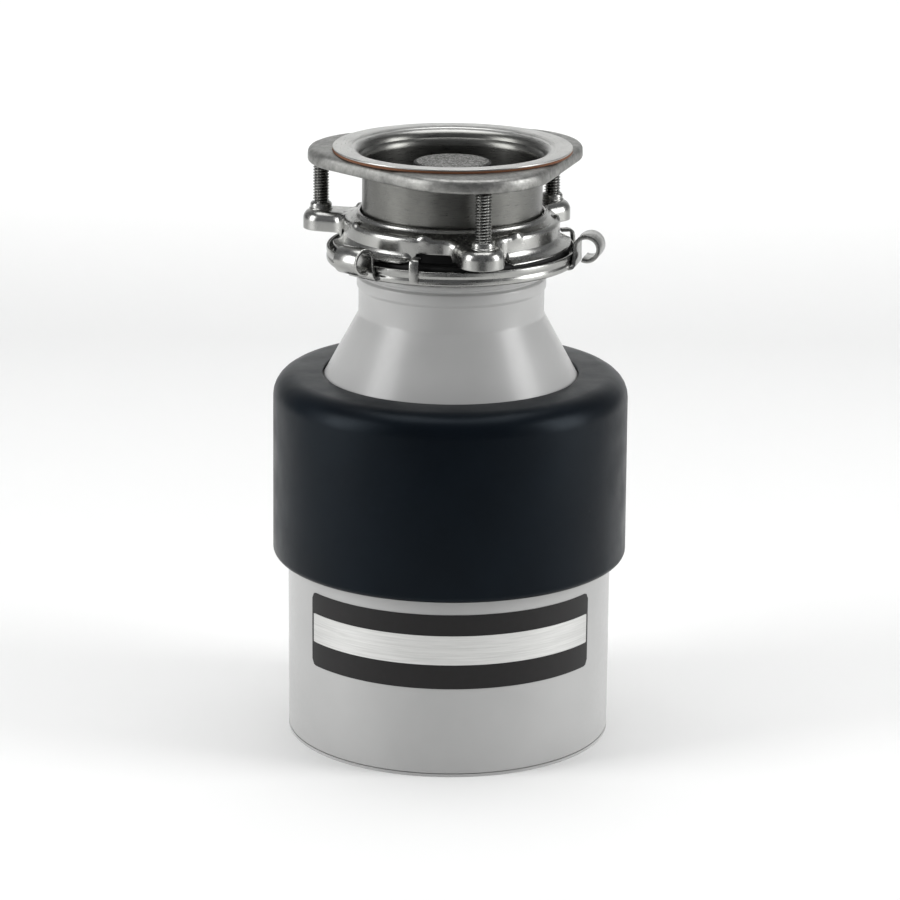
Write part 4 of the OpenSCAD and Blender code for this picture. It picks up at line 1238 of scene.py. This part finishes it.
# %% CAD node finishes
FINISHES = {
    "lower_end_frame": ENAMEL, "terminal_cover": ZINC, "terminal_cover_screw": ZINC,
    "ground_screw": GREEN, "overload_protector": PHENOLIC, "reset_button": RED,
    "start_switch": PHENOLIC, "lower_bearing": BRONZE, "lower_thrust_washer": NYLON,
    "stator_core": LAMINATION, "stator_windings": COPPER, "rotor_core": LAMINATION,
    "rotor_end_rings": ALUMINIUM, "centrifugal_actuator": NYLON, "rotor_shaft": ROLLED,
    "upper_end_bell": ALUMINIUM, "upper_bearing": BRONZE, "shaft_seal": RUBBER,
    "through_bolts": THREAD, "water_slinger": RUBBER, "discharge_chamber": ALUMINIUM,
    "container_gasket": RUBBER, "container_screws": THREAD, "turntable": STAINLESS,
    "lug_pins": ROLLED, "swivel_lug_1": ROLLED, "swivel_lug_2": ROLLED, "turntable_nut": ROLLED,
    "shredder_ring": GALVANISED, "sound_foam": FOAM, "splash_baffle": RUBBER, "snap_ring": ROLLED}
for name, material in FINISHES.items():
    paint(NODES[name], material)
for name in ("lower_end_frame", "discharge_chamber", "terminal_cover", "overload_protector",
             "reset_button", "turntable", "swivel_lug_1", "swivel_lug_2", "turntable_nut"):
    edge = NODES[name].modifiers.new("broken_edge", "BEVEL")
    edge.width = 0.35 * MM
    edge.segments = 2
    edge.limit_method = "ANGLE"
    edge.angle_limit = math.radians(50)
unpainted = [n for n in NODES if n not in FINISHES and not NODES[n].hide_render]
print("CAD nodes without a finish:", unpainted)

# %% [markdown]
# ## Studio
# A plain pale sweep, a big soft key on each side, one overhead and one on the backdrop. Dark cards
# out of view give the bright metal something to reflect.

# %% Floor and lights
def make_sweep():
    bm = bmesh.new()
    lines = []
    for x in (-6, 6):
        line = [(x, -4, 0), (x, 2.2, 0)]
        for k in range(1, 13):
            t = math.radians(90 * k / 12)
            line.append((x, 2.2 + 1.5 * math.sin(t), 1.5 - 1.5 * math.cos(t)))
        line.append((x, 3.7, 6))
        lines.append([bm.verts.new(p) for p in line])
    weave(bm, lines, False, False)
    mesh = bpy.data.meshes.new("sweep")
    bmesh.ops.recalc_face_normals(bm, faces=bm.faces)
    bm.to_mesh(mesh)
    bm.free()
    mesh.shade_smooth()
    sweep = bpy.data.objects.new("sweep", mesh)
    bpy.context.collection.objects.link(sweep)
    mat, tree, shader = new_finish("pale_paper_sweep", "#F4F4F3", 0.85)
    bump(tree, shader, noise(tree, 300, 3.0), 0.00005, 0.2)
    paint(sweep, mat)
    return sweep


def soft_light(name, spot, aim, size, watts, colour="#FFFFFF"):
    lamp = bpy.data.lights.new(name, "AREA")
    lamp.shape = "RECTANGLE"
    lamp.size, lamp.size_y = size
    lamp.energy = watts
    lamp.color = linear(colour)[:3]
    holder = bpy.data.objects.new(name, lamp)
    holder.location = spot
    holder.rotation_mode = "QUATERNION"
    holder.rotation_quaternion = (Vector(aim) - Vector(spot)).to_track_quat("-Z", "Y")
    bpy.context.collection.objects.link(holder)
    return holder


def dark_card(name, spot, aim, size, tone):
    """A dark card out of view, there only for reflections."""
    bm = bmesh.new()
    bmesh.ops.create_grid(bm, x_segments=1, y_segments=1, size=0.5)
    mesh = bpy.data.meshes.new(name)
    bm.to_mesh(mesh)
    bm.free()
    card = bpy.data.objects.new(name, mesh)
    card.location = spot
    card.scale = (size[0], size[1], 1)
    card.rotation_mode = "QUATERNION"
    card.rotation_quaternion = (Vector(aim) - Vector(spot)).to_track_quat("-Z", "Y")
    bpy.context.collection.objects.link(card)
    mat, tree, shader = new_finish(name + "_gray", tone, 0.9)
    paint(card, mat)
    return card


make_sweep()
AIM = (0, 0, 0.15)
soft_light("key_left", (-1.85, -0.55, 0.8), AIM, (0.9, 1.5), 28)
soft_light("key_right", (1.85, -0.35, 0.75), AIM, (0.8, 1.4), 27)
soft_light("overhead", (0.0, 0.1, 1.9), AIM, (1.6, 1.2), 21)
soft_light("backdrop", (0.0, 1.3, 1.6), (0, 3.4, 0.9), (3.0, 1.0), 45)
cards = [dark_card("card_floor", (0, -1.2, 0.004), (0, -1.2, 1), (0.7, 1.3), "#4A4A4A"),
         dark_card("card_left", (-0.62, -1.5, 0.5), AIM, (0.22, 1.8), "#1C1C1C"),
         dark_card("card_right", (0.62, -1.5, 0.5), AIM, (0.22, 1.8), "#1C1C1C")]
for card in cards:
    card.visible_camera = False
    card.visible_diffuse = False
    card.visible_shadow = False
world = bpy.data.worlds.new("studio")
bpy.context.scene.world = world
world.use_nodes = True
world.node_tree.nodes["Background"].inputs["Color"].default_value = linear("#DADCE0")
world.node_tree.nodes["Background"].inputs["Strength"].default_value = 0.26
print("cards:", len(cards))

# %% [markdown]
# ## Camera
# A long lens from the front, 16 degrees above the horizon, with a slight roll.

# %% Camera
PITCH = math.radians(15.98)
ROLL = math.radians(0.51)
DISTANCE = 1.80685
lens = bpy.data.cameras.new("view")
lens.lens = 148.67
lens.sensor_width = 36
lens.clip_start = 0.05
lens.clip_end = 30
camera = bpy.data.objects.new("view", lens)
bpy.context.collection.objects.link(camera)
right = Vector((math.cos(ROLL), math.sin(ROLL) * math.sin(PITCH), math.sin(ROLL) * math.cos(PITCH)))
back = Vector((0, -math.cos(PITCH), math.sin(PITCH)))
up = back.cross(right)
turn = Matrix((right, up, back)).transposed()
camera.matrix_world = turn.to_4x4()
camera.location = Vector((0, 0, 0.13957)) + back * DISTANCE
bpy.context.scene.camera = camera
bpy.context.scene.view_settings.view_transform = "Standard"
bpy.context.scene.view_settings.look = "None"
print("lens", lens.lens)
